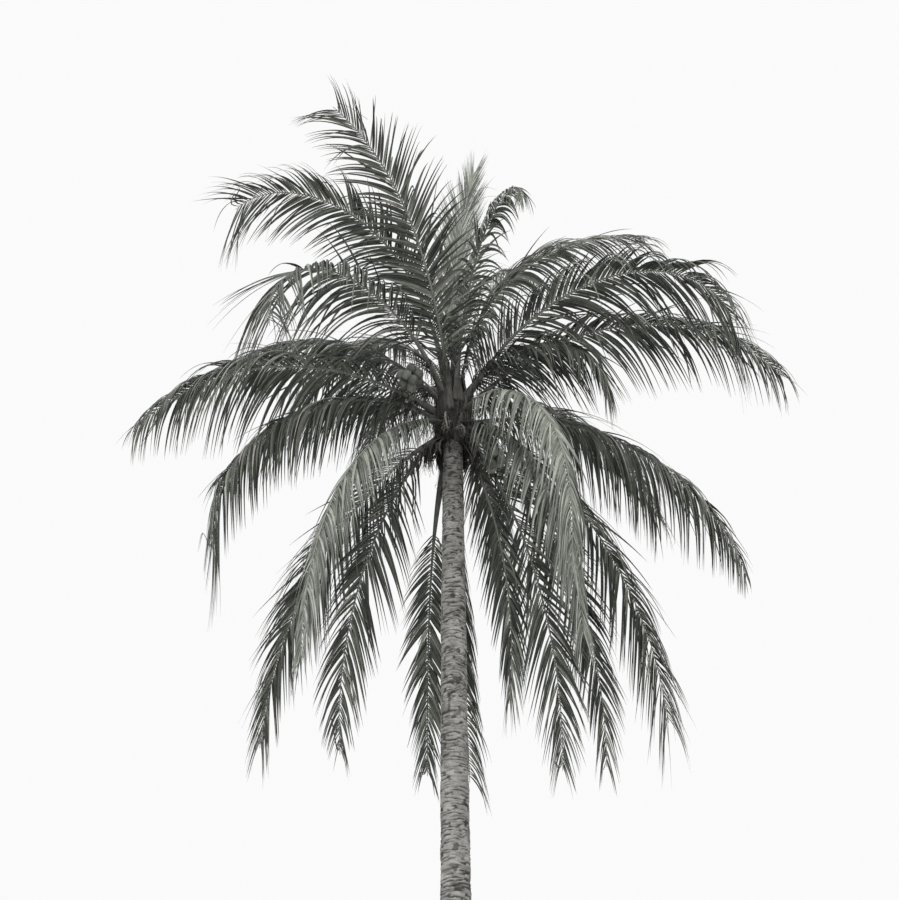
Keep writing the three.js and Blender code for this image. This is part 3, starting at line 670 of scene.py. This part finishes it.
def bark_finish():
    """Grey bark: mottled, with lichen patches and stains, and painted shade where the relief goes in and
    under the crown.
    """
    pale, dark = (0.370, 0.362, 0.342), (0.034, 0.033, 0.030)
    material, tree, shader = base_finish("bark", roughness=0.9, specular=0.25)
    place = add_node(tree, "ShaderNodeTexCoord").outputs["Object"]
    patches, _ = mottled(tree, pale, place, low=0.68, high=1.18, scale=7.0, detail=8.0)
    grain, grain_height = mottled(
        tree, (0.9, 0.9, 0.9), place, low=0.62, high=1.2, scale=60.0, detail=6.0,
    )
    speckled = mixed(tree, patches, grain, factor=0.7)
    # The attribute holds painted shade in the bark's hollows and under the crown, and its stains.
    shade_and_stain = add_node(tree, "ShaderNodeAttribute", attribute_name="shade_and_stain").outputs["Fac"]
    shaded_and_stained = mixed(tree, speckled, dark + (1,), factor=shade_and_stain, blend="MIX")
    finish_with(tree, shader, shaded_and_stained, grain_height, strength=0.7, depth=0.006)
    return material


def rib_finish(name, colour, roughness, contrast):
    return woody_finish(
        name, colour, roughness, scale=14.0, stretch=0.3, depth=0.002, contrast=contrast, foot_painted_shade=True,
    )


def husk_finish(name, colour):
    return woody_finish(name, colour, 0.34, scale=12.0, stretch=0.6, depth=0.002, contrast=0.3)


def fibre_finish(name, colour, contrast):
    return woody_finish(name, colour, 0.95, scale=60.0, stretch=0.1, depth=0.004, contrast=contrast)


LEAF_TONES = [
    leaf_finish("leaf_deep", (0.048, 0.052, 0.044)),
    leaf_finish("leaf_dark", (0.080, 0.086, 0.073)),
    leaf_finish("leaf_mid", (0.130, 0.138, 0.118)),
    leaf_finish("leaf_pale", (0.215, 0.225, 0.195)),
    leaf_finish("leaf_light", (0.340, 0.352, 0.310)),
    leaf_finish("leaf_dry", (0.360, 0.345, 0.310), roughness=0.6),
]
YOUNG_TONES = [
    leaf_finish("young_leaf_dark", (0.120, 0.127, 0.108)),
    leaf_finish("young_leaf_mid", (0.215, 0.225, 0.195)),
    leaf_finish("young_leaf_pale", (0.340, 0.352, 0.310)),
]
RIB_GREEN = rib_finish("rib_green", (0.200, 0.207, 0.180), 0.42, contrast=0.2)
RIB_DARK = rib_finish("rib_dark", (0.090, 0.090, 0.080), 0.5, contrast=0.3)
SHEATH = woody_finish(
    "sheath", (0.060, 0.058, 0.052), 0.75, scale=24.0, stretch=0.15, depth=0.004, contrast=0.4,
)
FIBRE = fibre_finish("fibre", (0.028, 0.027, 0.024), contrast=0.5)
FIBRE_PALE = fibre_finish("fibre_pale", (0.070, 0.066, 0.060), contrast=0.4)
HUSK_TONES = [
    husk_finish("husk_dark", (0.070, 0.073, 0.061)),
    husk_finish("husk_mid", (0.115, 0.120, 0.102)),
    husk_finish("husk_pale", (0.180, 0.186, 0.161)),
]
CALYX = woody_finish(
    "calyx", (0.060, 0.056, 0.049), 0.8, scale=40.0, stretch=0.4, depth=0.003, contrast=0.3,
)
DRY_STALK = woody_finish(
    "dry_stalk", (0.200, 0.190, 0.170), 0.85, scale=40.0, stretch=0.2, depth=0.003, contrast=0.35,
)
BARK = bark_finish()


# The trunk

def trunk_middle(height):
    share = np.clip(height / CROWN[2], 0, 1)
    lean = 1 - (1 - share) ** LEAN_EASE
    return lean[..., None] * CROWN[:2]


def trunk_radius(height):
    return np.interp(height, *zip(*TRUNK_PROFILE))


def heart_radius(height):
    return np.interp(height, *zip(*HEART_PROFILE))


def trunk_relief(height, turn):
    """How far the bark stands in or out, and how dark it is: painted shade in its cuts, cracks and pits
    and under the crown, and stains.
    """
    rng = seeded("bark")
    u, v = height / BARK_NOISE_HEIGHT, turn / (2 * np.pi)

    def noise(name):
        return soft_noise(rng, BARK_NOISE[name], u, v)

    scars = np.cumsum(rng.uniform(*SCAR_GAPS, SCAR_COUNT))
    tilt = SCAR_TILT * np.sin(turn + noise("tilt"))
    wander = noise("wander") + noise("fine wander")
    phase = np.interp(height + tilt + wander, scars, np.arange(len(scars))) % 1.0
    strength = np.clip(SCAR_STRENGTH + noise("strength"), 0, 1)
    ledge = lerp(LEDGE_LEAST, 1, strength) * LEDGE_HEIGHT * (phase - 0.5)
    cut = strength * np.exp(-((phase - CUT_PLACE) / CUT_WIDTH) ** 2)
    crack = np.clip(1 - np.abs(noise("crack")) / CRACK_WIDTH, 0, 1)
    crack = crack * smoothstep(*CRACKED_RANGE, noise("cracked"))
    pit = smoothstep(*PIT_RANGE, noise("pit"))
    bumps = noise("lumps") + noise("fine lumps") + noise("rough")
    stain = np.clip(noise("stain") + noise("fine stain"), 0, 1)
    relief = bumps + ledge - CUT_DEPTH * cut - CRACK_DEPTH * crack - PIT_DEPTH * pit
    # Painted shade: the cuts, cracks and pits are darkened as if in shade, and the top as if shaded by
    # the crown; the stains are added to it.
    crown_shade = CROWN_SHADE * smoothstep(*CROWN_SHADE_HEIGHTS, height)
    shade_and_stain = CUT_SHADE * cut + CRACK_SHADE * crack + PIT_SHADE * pit + stain + crown_shade
    return relief, np.clip(shade_and_stain, 0, DARKEST_SHADE_AND_STAIN)


def build_trunk():
    """The trunk in a lower and an upper length, which share the ring where they meet."""
    for name, low, high in (("trunk_lower", 0, 0.5), ("trunk_upper", 0.5, 1)):
        height = TRUNK_TOP * np.linspace(low, high, TRUNK_ROWS)
        heights, turns = np.meshgrid(height, around(TRUNK_SIDES), indexing="ij")
        fade = np.clip(1 - heights / FOOT_HEIGHT, 0, 1) ** 2
        lobe = 1 + FOOT_LOBE_DEPTH * fade * np.cos(FOOT_LOBES * turns)
        relief, shade_and_stain = trunk_relief(heights, turns)
        radius = trunk_radius(heights) * lobe + relief
        batch = Batch()
        batch.add(upright_points(trunk_middle(heights), radius, turns, heights)[None])
        trunk = batch.piece(name, "bark", [BARK], True, ["trunk"])
        # Painted shade and stains, kept on the trunk for the bark finish.
        mark = trunk.data.attributes.new("shade_and_stain", "FLOAT", "POINT")
        mark.data.foreach_set("value", shade_and_stain.ravel().astype(np.float32))


# The fronds

def rib_directions(frond, share):
    climb = np.radians(frond.climb - frond.bend * share ** frond.ease)
    turn = np.radians(frond.turn + frond.swing * share)
    along = np.stack([np.cos(climb) * np.cos(turn), np.cos(climb) * np.sin(turn), np.sin(climb)], -1)
    across = np.stack([-np.sin(turn), np.cos(turn), np.zeros_like(turn)], -1)
    across = turned(across, along, math.radians(frond.roll))
    return along, across, np.cross(along, across)


def frond_start(frond):
    radius = frond.radius
    if radius is None:
        radius = lerp(SEAT_RADIUS_HIGH, SEAT_RADIUS_LOW, math.cos(math.radians(frond.climb)))
    return crown_point(frond.turn, radius, frond.seat)


def rib_points(frond, share):
    """Points of the rib's curve, from a running sum of short steps."""
    middles = (np.arange(RIB_STEPS) + 0.5) / RIB_STEPS
    steps = rib_directions(frond, middles)[0] * (frond.length / RIB_STEPS)
    sums = np.concatenate([np.zeros((1, 3)), np.cumsum(steps, 0)])
    ends = np.arange(RIB_STEPS + 1) / RIB_STEPS
    offsets = np.stack([np.interp(share, ends, sums[:, axis]) for axis in range(3)], -1)
    return frond_start(frond) + offsets


def rib_rings(frond):
    """The rib: flatter above than below, and wider where it clasps the heart."""
    share = np.concatenate([
        np.linspace(0, RIB_FOOT_SHARE, RIB_FOOT_RINGS, endpoint=False),
        np.linspace(RIB_FOOT_SHARE, 1, RIB_RINGS - RIB_FOOT_RINGS),
    ])
    _, across, above = rib_directions(frond, share)
    flare = np.clip(1 - share / (frond.bare + FLARE_PAST_BARE), 0, 1)
    half = lerp(*RIB_HALF_WIDTHS, share ** RIB_TAPER_POWER) + FLARE_HALF_WIDTH * flare
    depth = lerp(*RIB_HALF_DEPTHS, share ** RIB_TAPER_POWER) + FLARE_HALF_DEPTH * flare
    angle = around(RIB_SIDES)
    level = np.where(np.sin(angle) > 0, np.sin(angle) * RIB_TOP_FLATNESS, np.sin(angle))
    return (
        rib_points(frond, share)[:, None, :]
        + across[:, None, :] * (half[:, None] * np.cos(angle))[..., None]
        + above[:, None, :] * (depth[:, None] * level)[..., None]
    )[None]


def leaf_place(frond, share):
    """How far along the leafy part of the rib a share of its length is."""
    return np.clip((share - frond.bare) / (1 - frond.bare), 0, 1)


def leaf_lengths(frond, share):
    place = leaf_place(frond, share)
    rise = np.sin(np.clip(place / LEAF_PEAK, 0, 1) * np.pi / 2)
    fall = np.clip((place - LEAF_PEAK) / (1 - LEAF_PEAK), 0, 1) ** LEAF_FALL_POWER
    return frond.leaf * np.where(
        place < LEAF_PEAK, lerp(LEAF_START_LENGTH, 1, rise), 1 - (1 - frond.tip) * fall,
    )


def leaflet_shares(frond, rng, spacing):
    """Where each leaflet leaves the rib, and on which side of it."""
    leafy = LEAF_END_SHARE - frond.bare
    count = int(round(frond.length * leafy / spacing))
    pitch = leafy / count
    share = frond.bare + pitch * (np.arange(count) + 0.25)
    share = np.concatenate([share, share + pitch * 0.5])
    share = share + pitch * rng.uniform(-SPACING_STRAY, SPACING_STRAY, 2 * count)
    return share, np.repeat([1.0, -1.0], count)


def clump_numbers(rng, count):
    """The number of each leaflet's clump, because neighbouring leaflets cling together."""
    sizes = rng.integers(CLUMP_SIZES[0], CLUMP_SIZES[1] + 1, count)
    return np.repeat(np.arange(count), sizes)[:count]


def leaflet_paths(frond, share, side, lift, opening, hang, length, clump):
    """The middle line of each leaflet, which leaves the rib, bends down and leans to its clump."""
    along, across, above = rib_directions(frond, share)
    outward = across * (side * np.cos(lift))[:, None] + above * np.sin(lift)[:, None]
    start = along * np.cos(opening)[:, None] + outward * np.sin(opening)[:, None]
    weight = DOWN - WEIGHT_ALONG_RIB * (along @ DOWN)[:, None] * along
    pull = PULL * ((LEAF_RUN[:-1] + LEAF_RUN[1:]) / 2) ** PULL_POWER
    heading = unit(start[:, None] + (hang[:, None] * pull)[..., None] * weight[:, None])
    steps = heading * (length[:, None] / (LEAF_STATIONS - 1))[..., None]
    root = rib_points(frond, share) + across * (side * lerp(*LEAF_BESIDE_RIB, share))[:, None]
    paths = root[:, None] + np.concatenate([np.zeros((len(share), 1, 3)), np.cumsum(steps, 1)], 1)
    centre = np.bincount(clump, share) / np.maximum(np.bincount(clump), 1)
    stray = (share - centre[clump]) * frond.length * CLUMP_CLOSENESS
    return paths - (stray[:, None] * smoothstep(*CLUMP_SPAN, LEAF_RUN))[..., None] * along[:, None]


def leaflet_half_widths(place, width, own_width):
    """Half widths along each leaflet, narrower on the first and the last ones of the frond."""
    first = lerp(FIRST_LEAF_WIDTH, 1, smoothstep(*FIRST_LEAF_SPAN, place))
    last = lerp(1, LAST_LEAF_WIDTH, smoothstep(*LAST_LEAF_SPAN, place))
    root = lerp(LEAF_ROOT_WIDTH, 1, smoothstep(*LEAF_ROOT_SPAN, LEAF_RUN))
    taper = root * np.clip(LEAF_TAPER * (1 - LEAF_RUN), 0, 1) ** LEAF_TAPER_POWER + LEAF_TIP_WIDTH
    return 0.5 * (width * first * last * own_width)[:, None] * taper


def leaflet_rings(frond, rng, spacing=LEAF_SPACING, width=LEAF_WIDTH):
    """The leaflets of a frond as rings, and how far along its leafy part each stands."""
    share, side = leaflet_shares(frond, rng, spacing)
    total = len(share)
    place = leaf_place(frond, share)
    clump = clump_numbers(rng, total)
    by_clump = rng.normal(0, 1, (5, total))[:, clump]
    by_leaflet = rng.normal(0, 1, (5, total))
    stray = CLUMP_STRAY * by_clump + OWN_STRAY * by_leaflet
    stiff = rng.random(total) < STIFF_SHARE
    limp = rng.random(total) < LIMP_SHARE
    torn = rng.random(total) < TORN_SHARE

    lift = np.radians(frond.lift + stray[0] + np.where(stiff, STIFF_LIFT, 0))
    opening = np.radians(frond.open * (1 - frond.closing * place) + stray[1])
    opening = np.where(stiff, opening * STIFF_OPENING, opening)
    hang = frond.hang * np.clip(1 + stray[2], *HANG_RANGE)
    hang = np.where(stiff, hang * STIFF_HANG, np.where(limp, hang * LIMP_HANG + LIMP_HANG_MORE, hang))
    length = leaf_lengths(frond, share) * np.clip(LENGTH_MIDDLE + stray[3], *LENGTH_RANGE)
    length = np.where(torn, length * rng.uniform(*TORN_LENGTHS, total), length)
    paths = leaflet_paths(frond, share, side, lift, opening, hang, length, clump)

    along = rib_directions(frond, share)[0]
    ahead = tangents(paths)
    flat = square_to(np.broadcast_to((-side[:, None] * along)[:, None], paths.shape), ahead)
    gain = TWIST_GAIN * rng.normal(0, 1, total)
    twist = np.radians(stray[4])[:, None] + np.radians(gain)[:, None] * LEAF_RUN
    half = leaflet_half_widths(place, width, rng.uniform(*WIDTH_RANGE, total))
    thickness = LEAF_THICKNESS * lerp(1.0, LEAF_TIP_THICKNESS, LEAF_RUN)
    fold = lerp(*LEAF_FOLDS, LEAF_RUN)[None, :, None]
    rings = blade_rings(paths, turned(flat, ahead, twist), half, fold, thickness)
    kept = clear_of_stem(paths) & (rng.random(total) >= frond.thin)
    return rings[kept], place[kept]


def clear_of_stem(paths):
    """True for the leaflets and strands that pass clear of the trunk and the heart."""
    height = paths[..., 2]
    beside = np.linalg.norm(paths[..., :2] - trunk_middle(height), axis=-1)
    in_trunk = (height < CROWN[2]) & (beside < trunk_radius(height) + STEM_CLEARANCE)
    above = height - CROWN[2]
    in_heart = (above >= 0) & (above < HEART_TOP) & (beside < heart_radius(above))
    return ~(in_trunk | in_heart).any(-1)


def deal_tones(rng, count, tone):
    """A material number for each leaflet, round the frond's own tone."""
    dry = len(LEAF_TONES) - 1
    drawn = TONE_MIDDLE + tone + rng.normal(0, TONE_STRAY, count)
    # Painted highlights: some leaflets are dealt paler tones, as if they caught the sky.
    drawn = np.where(rng.random(count) < HIGHLIGHT_SHARE, drawn + HIGHLIGHT_BY, drawn)
    dealt = np.clip(np.rint(drawn), 0, dry - 1).astype(int)
    return np.where(rng.random(count) < DRY_SHARE, dry, dealt)


def cad_names(number):
    stem = f"frond_{number:02d}"
    return [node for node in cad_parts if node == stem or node.startswith(stem + "_")]


def build_fronds():
    ribs = Batch()
    number = 0
    all_nodes = []
    for group, fronds in (("upright", UPRIGHT), ("arching", ARCHING), ("hanging", HANGING)):
        leaves = Batch()
        nodes = []
        for frond in fronds:
            number += 1
            rng = seeded("fronds", number)
            ribs.add(rib_rings(frond), 0 if frond.climb > DARK_RIB_CLIMB else 1)
            rings, place = leaflet_rings(frond, rng)
            tone = frond.tone + rng.normal(0, FROND_TONE_STRAY)
            tone = tone - INNER_SHADE * np.clip(1 - place / INNER_SHADE_REACH, 0, 1)
            leaves.add(rings, deal_tones(rng, len(rings), tone))
            nodes += cad_names(number)
        leaves.piece(f"leaflets_{group}", "frond_leaf", LEAF_TONES, False, nodes)
        all_nodes += nodes
    ribs.piece("frond_ribs", "frond_leaf", [RIB_GREEN, RIB_DARK], True, all_nodes)


def build_spear():
    rng = seeded("spear")
    ribs, leaves = Batch(), Batch()
    ribs.add(rib_rings(SPEAR))
    rings, _ = leaflet_rings(SPEAR, rng, SPEAR_LEAF_SPACING, SPEAR_LEAF_WIDTH)
    leaves.add(rings, rng.integers(0, len(YOUNG_TONES), len(rings)))
    ribs.piece("spear_rib", "young_leaf", [RIB_GREEN], True, ["spear"])
    leaves.piece("spear_leaflets", "young_leaf", YOUNG_TONES, False, ["spear"])


# The heart and its fibre

def build_heart():
    """The bulb of sheaths, and on it the strap-like sheath of each frond's stalk."""
    rng = seeded("heart")
    height = np.linspace(*HEART_SPAN, HEART_ROWS)
    heights, turns = np.meshgrid(height, around(HEART_SIDES), indexing="ij")
    u, v = (heights - HEART_SPAN[0]) / HEART_NOISE_HEIGHT, turns / (2 * np.pi)
    relief = soft_noise(rng, HEART_LUMPS, u, v) + soft_noise(rng, HEART_FOLDS, u, v)
    radius = np.maximum(HEART_LEAST_RADIUS, heart_radius(heights) - HEART_INSET + relief)
    batch = Batch()
    batch.add(upright_points(CROWN, radius, turns, CROWN[2] + heights)[None], 1)
    for frond in UPRIGHT + ARCHING + HANGING:
        batch.add(sheath_rings(frond, rng), rng.integers(0, 2, 1))
    batch.piece("heart_sheaths", "crown_fibre", [SHEATH, FIBRE], True, ["crown_heart"])


def sheath_rings(frond, rng):
    """A sheath that clasps the heart below its stalk, wide at its foot and thin at its edges."""
    points = rib_points(frond, SHEATH_SEARCH) - CROWN
    outside = np.linalg.norm(points[:, :2], axis=-1) > heart_radius(points[:, 2])
    leave = points[np.argmax(outside), 2]
    top = min(leave + SHEATH_PAST_STALK, SHEATH_LIMITS[1])
    bottom = max(top - rng.uniform(*SHEATH_LENGTHS), SHEATH_LIMITS[0])
    t = np.linspace(0, 1, SHEATH_STATIONS)[:, None]
    height = lerp(bottom, top, t)
    radius = heart_radius(height) + lerp(*SHEATH_OUT, t)
    half = lerp(*SHEATH_HALF_WIDTHS, smoothstep(0, 1, t)) * rng.uniform(*SHEATH_WIDTH_RANGE)
    angle = around(SHEATH_SIDES)
    turn = math.radians(frond.turn) - half * np.cos(angle) / radius
    out = radius + lerp(*SHEATH_HALF_DEPTHS, t) * np.sin(angle)
    return upright_points(CROWN, out, turn, CROWN[2] + height)[None]


def strand_rings(rng, turns, tops, lengths, start_radii, bows, widths):
    """Hanging fibres or torn strips: they start on the heart and bow out as they go down."""
    shape = (len(turns), STRAND_STATIONS)
    t = np.linspace(0, 1, STRAND_STATIONS)
    turn = turns[:, None] + np.cumsum(rng.normal(0, STRAND_SWERVE, shape), 1)
    radius = start_radii[:, None] + bows[:, None] * np.sin(t * STRAND_BOW_ARC)
    radius = radius + rng.normal(0, STRAND_RIPPLE, shape)
    height = tops[:, None] - lengths[:, None] * t
    stem = np.where(height < 0, trunk_radius(CROWN[2] + height), heart_radius(height))
    radius = np.maximum(radius, stem + STRAND_CLEARANCE)
    middle = trunk_middle(CROWN[2] + np.minimum(height, 0))
    paths = upright_points(middle, radius, turn, CROWN[2] + height)
    face = turn + np.pi / 2 + rng.normal(0, STRAND_LEAN, (len(turns), 1))
    sideways = np.stack([np.cos(face), np.sin(face), np.zeros_like(face)], -1)
    swell = np.sin(np.pi * np.clip(lerp(*STRAND_WIDTH_SPAN, t), 0, 1)) ** STRAND_WIDTH_POWER
    half = 0.5 * widths[:, None] * lerp(STRAND_END_WIDTH, 1, swell)
    return blade_rings(paths, sideways, half, STRAND_FOLD, STRAND_THICKNESS)


def build_heart_fibre():
    """The matted fibre over the heart and its foot."""
    rng = seeded("fibre")
    batch = Batch()
    for strands in HEART_FIBRE:
        count = strands["count"]
        tops = rng.uniform(*strands["tops"], count)
        start_radii = heart_radius(tops) + rng.uniform(*strands["out"], count)
        turns = rng.uniform(0, 2 * np.pi, count)
        lengths = rng.uniform(*strands["lengths"], count)
        bows = rng.uniform(*strands["bows"], count)
        widths = rng.uniform(*strands["widths"], count)
        rings = strand_rings(rng, turns, tops, lengths, start_radii, bows, widths)
        batch.add(rings, rng.integers(0, strands["tones"], count))
    batch.piece("heart_fibre", "crown_fibre", [FIBRE, FIBRE_PALE], False, ["crown_heart"])


def build_tufts():
    """Torn sheath fibre that hangs from under the feet of the fronds."""
    rng = seeded("tufts")
    batch = Batch()
    count = TUFT_COUNT
    t = np.linspace(0, 1, TUFT_STATIONS)
    for frond in UPRIGHT + ARCHING + HANGING:
        share = rng.uniform(*TUFT_SHARES, count)
        along, across, _ = rib_directions(frond, share)
        beside = rng.uniform(-TUFT_BESIDE, TUFT_BESIDE, count)
        root = rib_points(frond, share) + across * beside[:, None]
        heading = DOWN + along * rng.uniform(*TUFT_ALONG_RIB, count)[:, None]
        heading = unit(heading + rng.normal(0, TUFT_SCATTER, (count, 3)))
        start, loss = TUFT_SHORTENING
        length = rng.uniform(*TUFT_LENGTHS, count)
        length = length * np.clip(start - loss * share, TUFT_SHORTEST, 1)
        paths = straight_paths(root, heading, length, t) + swaying(rng, count, t, TUFT_WAVES)
        half = rng.uniform(*TUFT_HALF_WIDTHS, count)[:, None] * lerp(*TUFT_TAPER, t)
        face = unit(rng.normal(0, 1, (count, 1, 3)) * TUFT_FACING)
        face = np.broadcast_to(face, paths.shape)
        kept = clear_of_stem(paths)
        rings = blade_rings(paths, face, half, STRAND_FOLD, STRAND_THICKNESS)[kept]
        batch.add(rings, rng.integers(0, 2, len(rings)))
    batch.piece("foot_fibre", "crown_fibre", [FIBRE, FIBRE_PALE], False, ["crown_heart"])


def build_old_sheaths():
    """Dry tongues of torn fibre that hang beside the trunk's top."""
    rng = seeded("old sheaths")
    batch = Batch()
    for turn, width, drop, spread in TONGUES:
        for count, strip_widths in TONGUE_STRIPS:
            turns = math.radians(turn) + rng.uniform(-0.5, 0.5, count) * width / TONGUE_START_RADIUS
            tops = rng.uniform(*TONGUE_TOPS, count)
            lengths = drop * rng.uniform(*TONGUE_LENGTHS, count)
            start_radii = TONGUE_START_RADIUS + rng.uniform(*TONGUE_START_STRAY, count)
            bows = TONGUE_BOW * spread * rng.uniform(*TONGUE_BOW_RANGE, count)
            widths = rng.uniform(*strip_widths, count)
            rings = strand_rings(rng, turns, tops, lengths, start_radii, bows, widths)
            batch.add(rings, rng.integers(0, 2, count))
    nodes = [f"old_sheath_{number}" for number in range(1, len(TONGUES) + 1)]
    batch.piece("old_sheath_fibre", "old_sheath", [FIBRE, FIBRE_PALE], False, nodes)


# Nuts and flower stalks

def stalk_rings(points, radius, taper, stations, sides):
    """A tube along the curve through four points. taper is shares of its radius."""
    t = np.linspace(0, 1, stations)
    return round_rings(curve_through(points, t)[None], (radius * lerp(*taper, t))[None], sides)


def nut_rings(middle, axis, rng):
    """A green nut: an egg with three faint ridges."""
    polar = np.linspace(NUT_POLE_GAP, np.pi - NUT_POLE_GAP, NUT_ROWS)[::-1]
    side = unit(np.cross(axis, NUT_GUIDE))
    other = np.cross(axis, side)
    angle = around(NUT_SIDES)
    ridge = 1 + NUT_RIDGE * np.cos(NUT_RIDGES * angle + rng.uniform(0, 6))[None]
    egg = np.sin(polar) * (1 - NUT_EGG_SHAPE * np.cos(polar))
    radius = NUT_RADIUS * egg[:, None] * ridge
    up = NUT_RADIUS * NUT_LENGTHENING * np.cos(polar)
    ring = side * np.cos(angle)[:, None] + other * np.sin(angle)[:, None]
    return (middle + up[:, None, None] * axis + radius[..., None] * ring)[None]


def build_nuts():
    rng = seeded("nuts")
    nuts, stalks = Batch(), Batch()
    for bunch in NUT_BUNCHES:
        turn, seat, reach, rise = bunch["turn"], bunch["seat"], bunch["reach"], bunch["rise"]
        end = crown_point(turn, reach, seat + rise - bunch["sag"])
        points = [
            crown_point(turn, NUT_STALK_START, seat),
            *[crown_point(turn, reach * out, seat + rise * up) for out, up in NUT_STALK_BENDS],
            end,
        ]
        stalks.add(stalk_rings(points, **NUT_STALK_TUBE))
        for index in range(bunch["nuts"]):
            level = 1 - 2 * (index + 0.5) / bunch["nuts"]
            swirl = math.radians(index * GOLDEN_ANGLE)
            beside = math.sqrt(1 - level * level)
            offset = np.array([math.cos(swirl) * beside, math.sin(swirl) * beside, level]) * NUT_SPREAD
            axis = unit(offset * NUT_POINTING + NUT_DROP)
            middle = end + offset * NUT_RADIUS
            nuts.add(nut_rings(middle, -axis, rng), int(rng.integers(0, len(HUSK_TONES))))
            run = np.linspace(*CALYX_SPAN, len(CALYX_RADII))
            calyx = middle - axis * NUT_RADIUS * run[:, None]
            nuts.add(round_rings(calyx[None], CALYX_RADII[None], CALYX_SIDES), len(HUSK_TONES))
    nodes = ["nut_bunch_1", "nut_bunch_2"]
    nuts.piece("nuts", "nut_husk", HUSK_TONES + [CALYX], True, nodes)
    stalks.piece("nut_stalks", "nut_husk", [DRY_STALK], True, nodes)


def build_flower_stalks():
    rng = seeded("flower stalks")
    batch = Batch()
    for turn, seat, reach, drop in FLOWER_STALKS:
        points = [
            crown_point(turn, STALK_START, seat),
            crown_point(turn, reach * STALK_SHOULDER, seat + STALK_RISE),
            crown_point(turn + STALK_MIDDLE_SWING, reach, seat - drop * STALK_MIDDLE_DROP),
            crown_point(turn + STALK_END_SWING, reach * STALK_END_REACH, seat - drop),
        ]
        batch.add(stalk_rings(points, **FLOWER_STALK_TUBE))
        roots = curve_through(points, rng.uniform(*BRANCH_SHARES, BRANCH_COUNT))
        headings = unit(rng.normal(0, BRANCH_SCATTER, (BRANCH_COUNT, 3)) + DOWN)
        t = np.linspace(0, 1, BRANCH_STATIONS)
        waves = swaying(rng, BRANCH_COUNT, t, BRANCH_WAVES)
        lengths = rng.uniform(*BRANCH_LENGTHS, BRANCH_COUNT)
        paths = straight_paths(roots, headings, lengths, t) + waves
        radii = np.broadcast_to(BRANCH_RADIUS * lerp(*BRANCH_TAPER, t), paths.shape[:2])
        batch.add(round_rings(paths, radii, BRANCH_SIDES))
    nodes = [f"flower_stalk_{number}" for number in range(1, len(FLOWER_STALKS) + 1)]
    batch.piece("flower_stalk_branches", "dry_stalk", [DRY_STALK], True, nodes)


# Floor, light and camera

def build_stage():
    floor_material, tree, shader = base_finish("floor", roughness=0.9, specular=0.2)
    place = add_node(tree, "ShaderNodeTexCoord").outputs["Object"]
    tone, _ = mottled(tree, (0.62, 0.62, 0.61), place, low=0.98, high=1.02, scale=0.4, detail=2.0)
    tree.links.new(tone, shader.inputs["Base Color"])
    corners = FLOOR_HALF * np.array([(-1, -1, 0), (1, -1, 0), (1, 1, 0), (-1, 1, 0)])
    floor = make_piece("floor", corners, [np.array([[0, 1, 2, 3]])], [floor_material])


def build_light():
    """Soft light from all round, a sky that the camera sees as nearly white, and two lamps."""
    world = bpy.data.worlds.new("soft_sky")
    SCENE.world = world
    world.use_nodes = True
    tree = world.node_tree
    tree.nodes.clear()
    lighting, seen = (
        add_node(tree, "ShaderNodeBackground", {"Color": (1, 1, 1, 1), "Strength": strength}).outputs[0]
        for strength in (SKY_LIGHT, SKY_SEEN)
    )
    ray = add_node(tree, "ShaderNodeLightPath").outputs["Is Camera Ray"]
    mix = add_node(tree, "ShaderNodeMixShader", {0: ray, 1: lighting, 2: seen})
    add_node(tree, "ShaderNodeOutputWorld", {"Surface": mix.outputs[0]})
    for name, strength, softness, turn in LAMPS:
        lamp = bpy.data.lights.new(name, "SUN")
        lamp.energy, lamp.angle = strength, math.radians(softness)
        holder = bpy.data.objects.new(name, lamp)
        holder.rotation_euler = [math.radians(part) for part in turn]
        SCENE.collection.objects.link(holder)


def build_camera():
    camera = bpy.data.cameras.new("camera")
    camera.sensor_fit = "HORIZONTAL"
    camera.sensor_width = CAMERA_SENSOR
    camera.lens = CAMERA_LENS
    camera.clip_start, camera.clip_end = CAMERA_RANGE
    holder = bpy.data.objects.new("camera", camera)
    holder.location = CAMERA_PLACE
    holder.rotation_euler = (math.radians(90 + CAMERA_TILT), 0, 0)
    SCENE.collection.objects.link(holder)
    SCENE.camera = holder


SCENE.view_settings.view_transform = "Standard"
SCENE.view_settings.look = "None"
build_trunk()
build_fronds()
build_spear()
build_heart()
build_heart_fibre()
build_tufts()
build_old_sheaths()
build_nuts()
build_flower_stalks()
build_stage()
build_light()
build_camera()

bpy.context.view_layer.update()
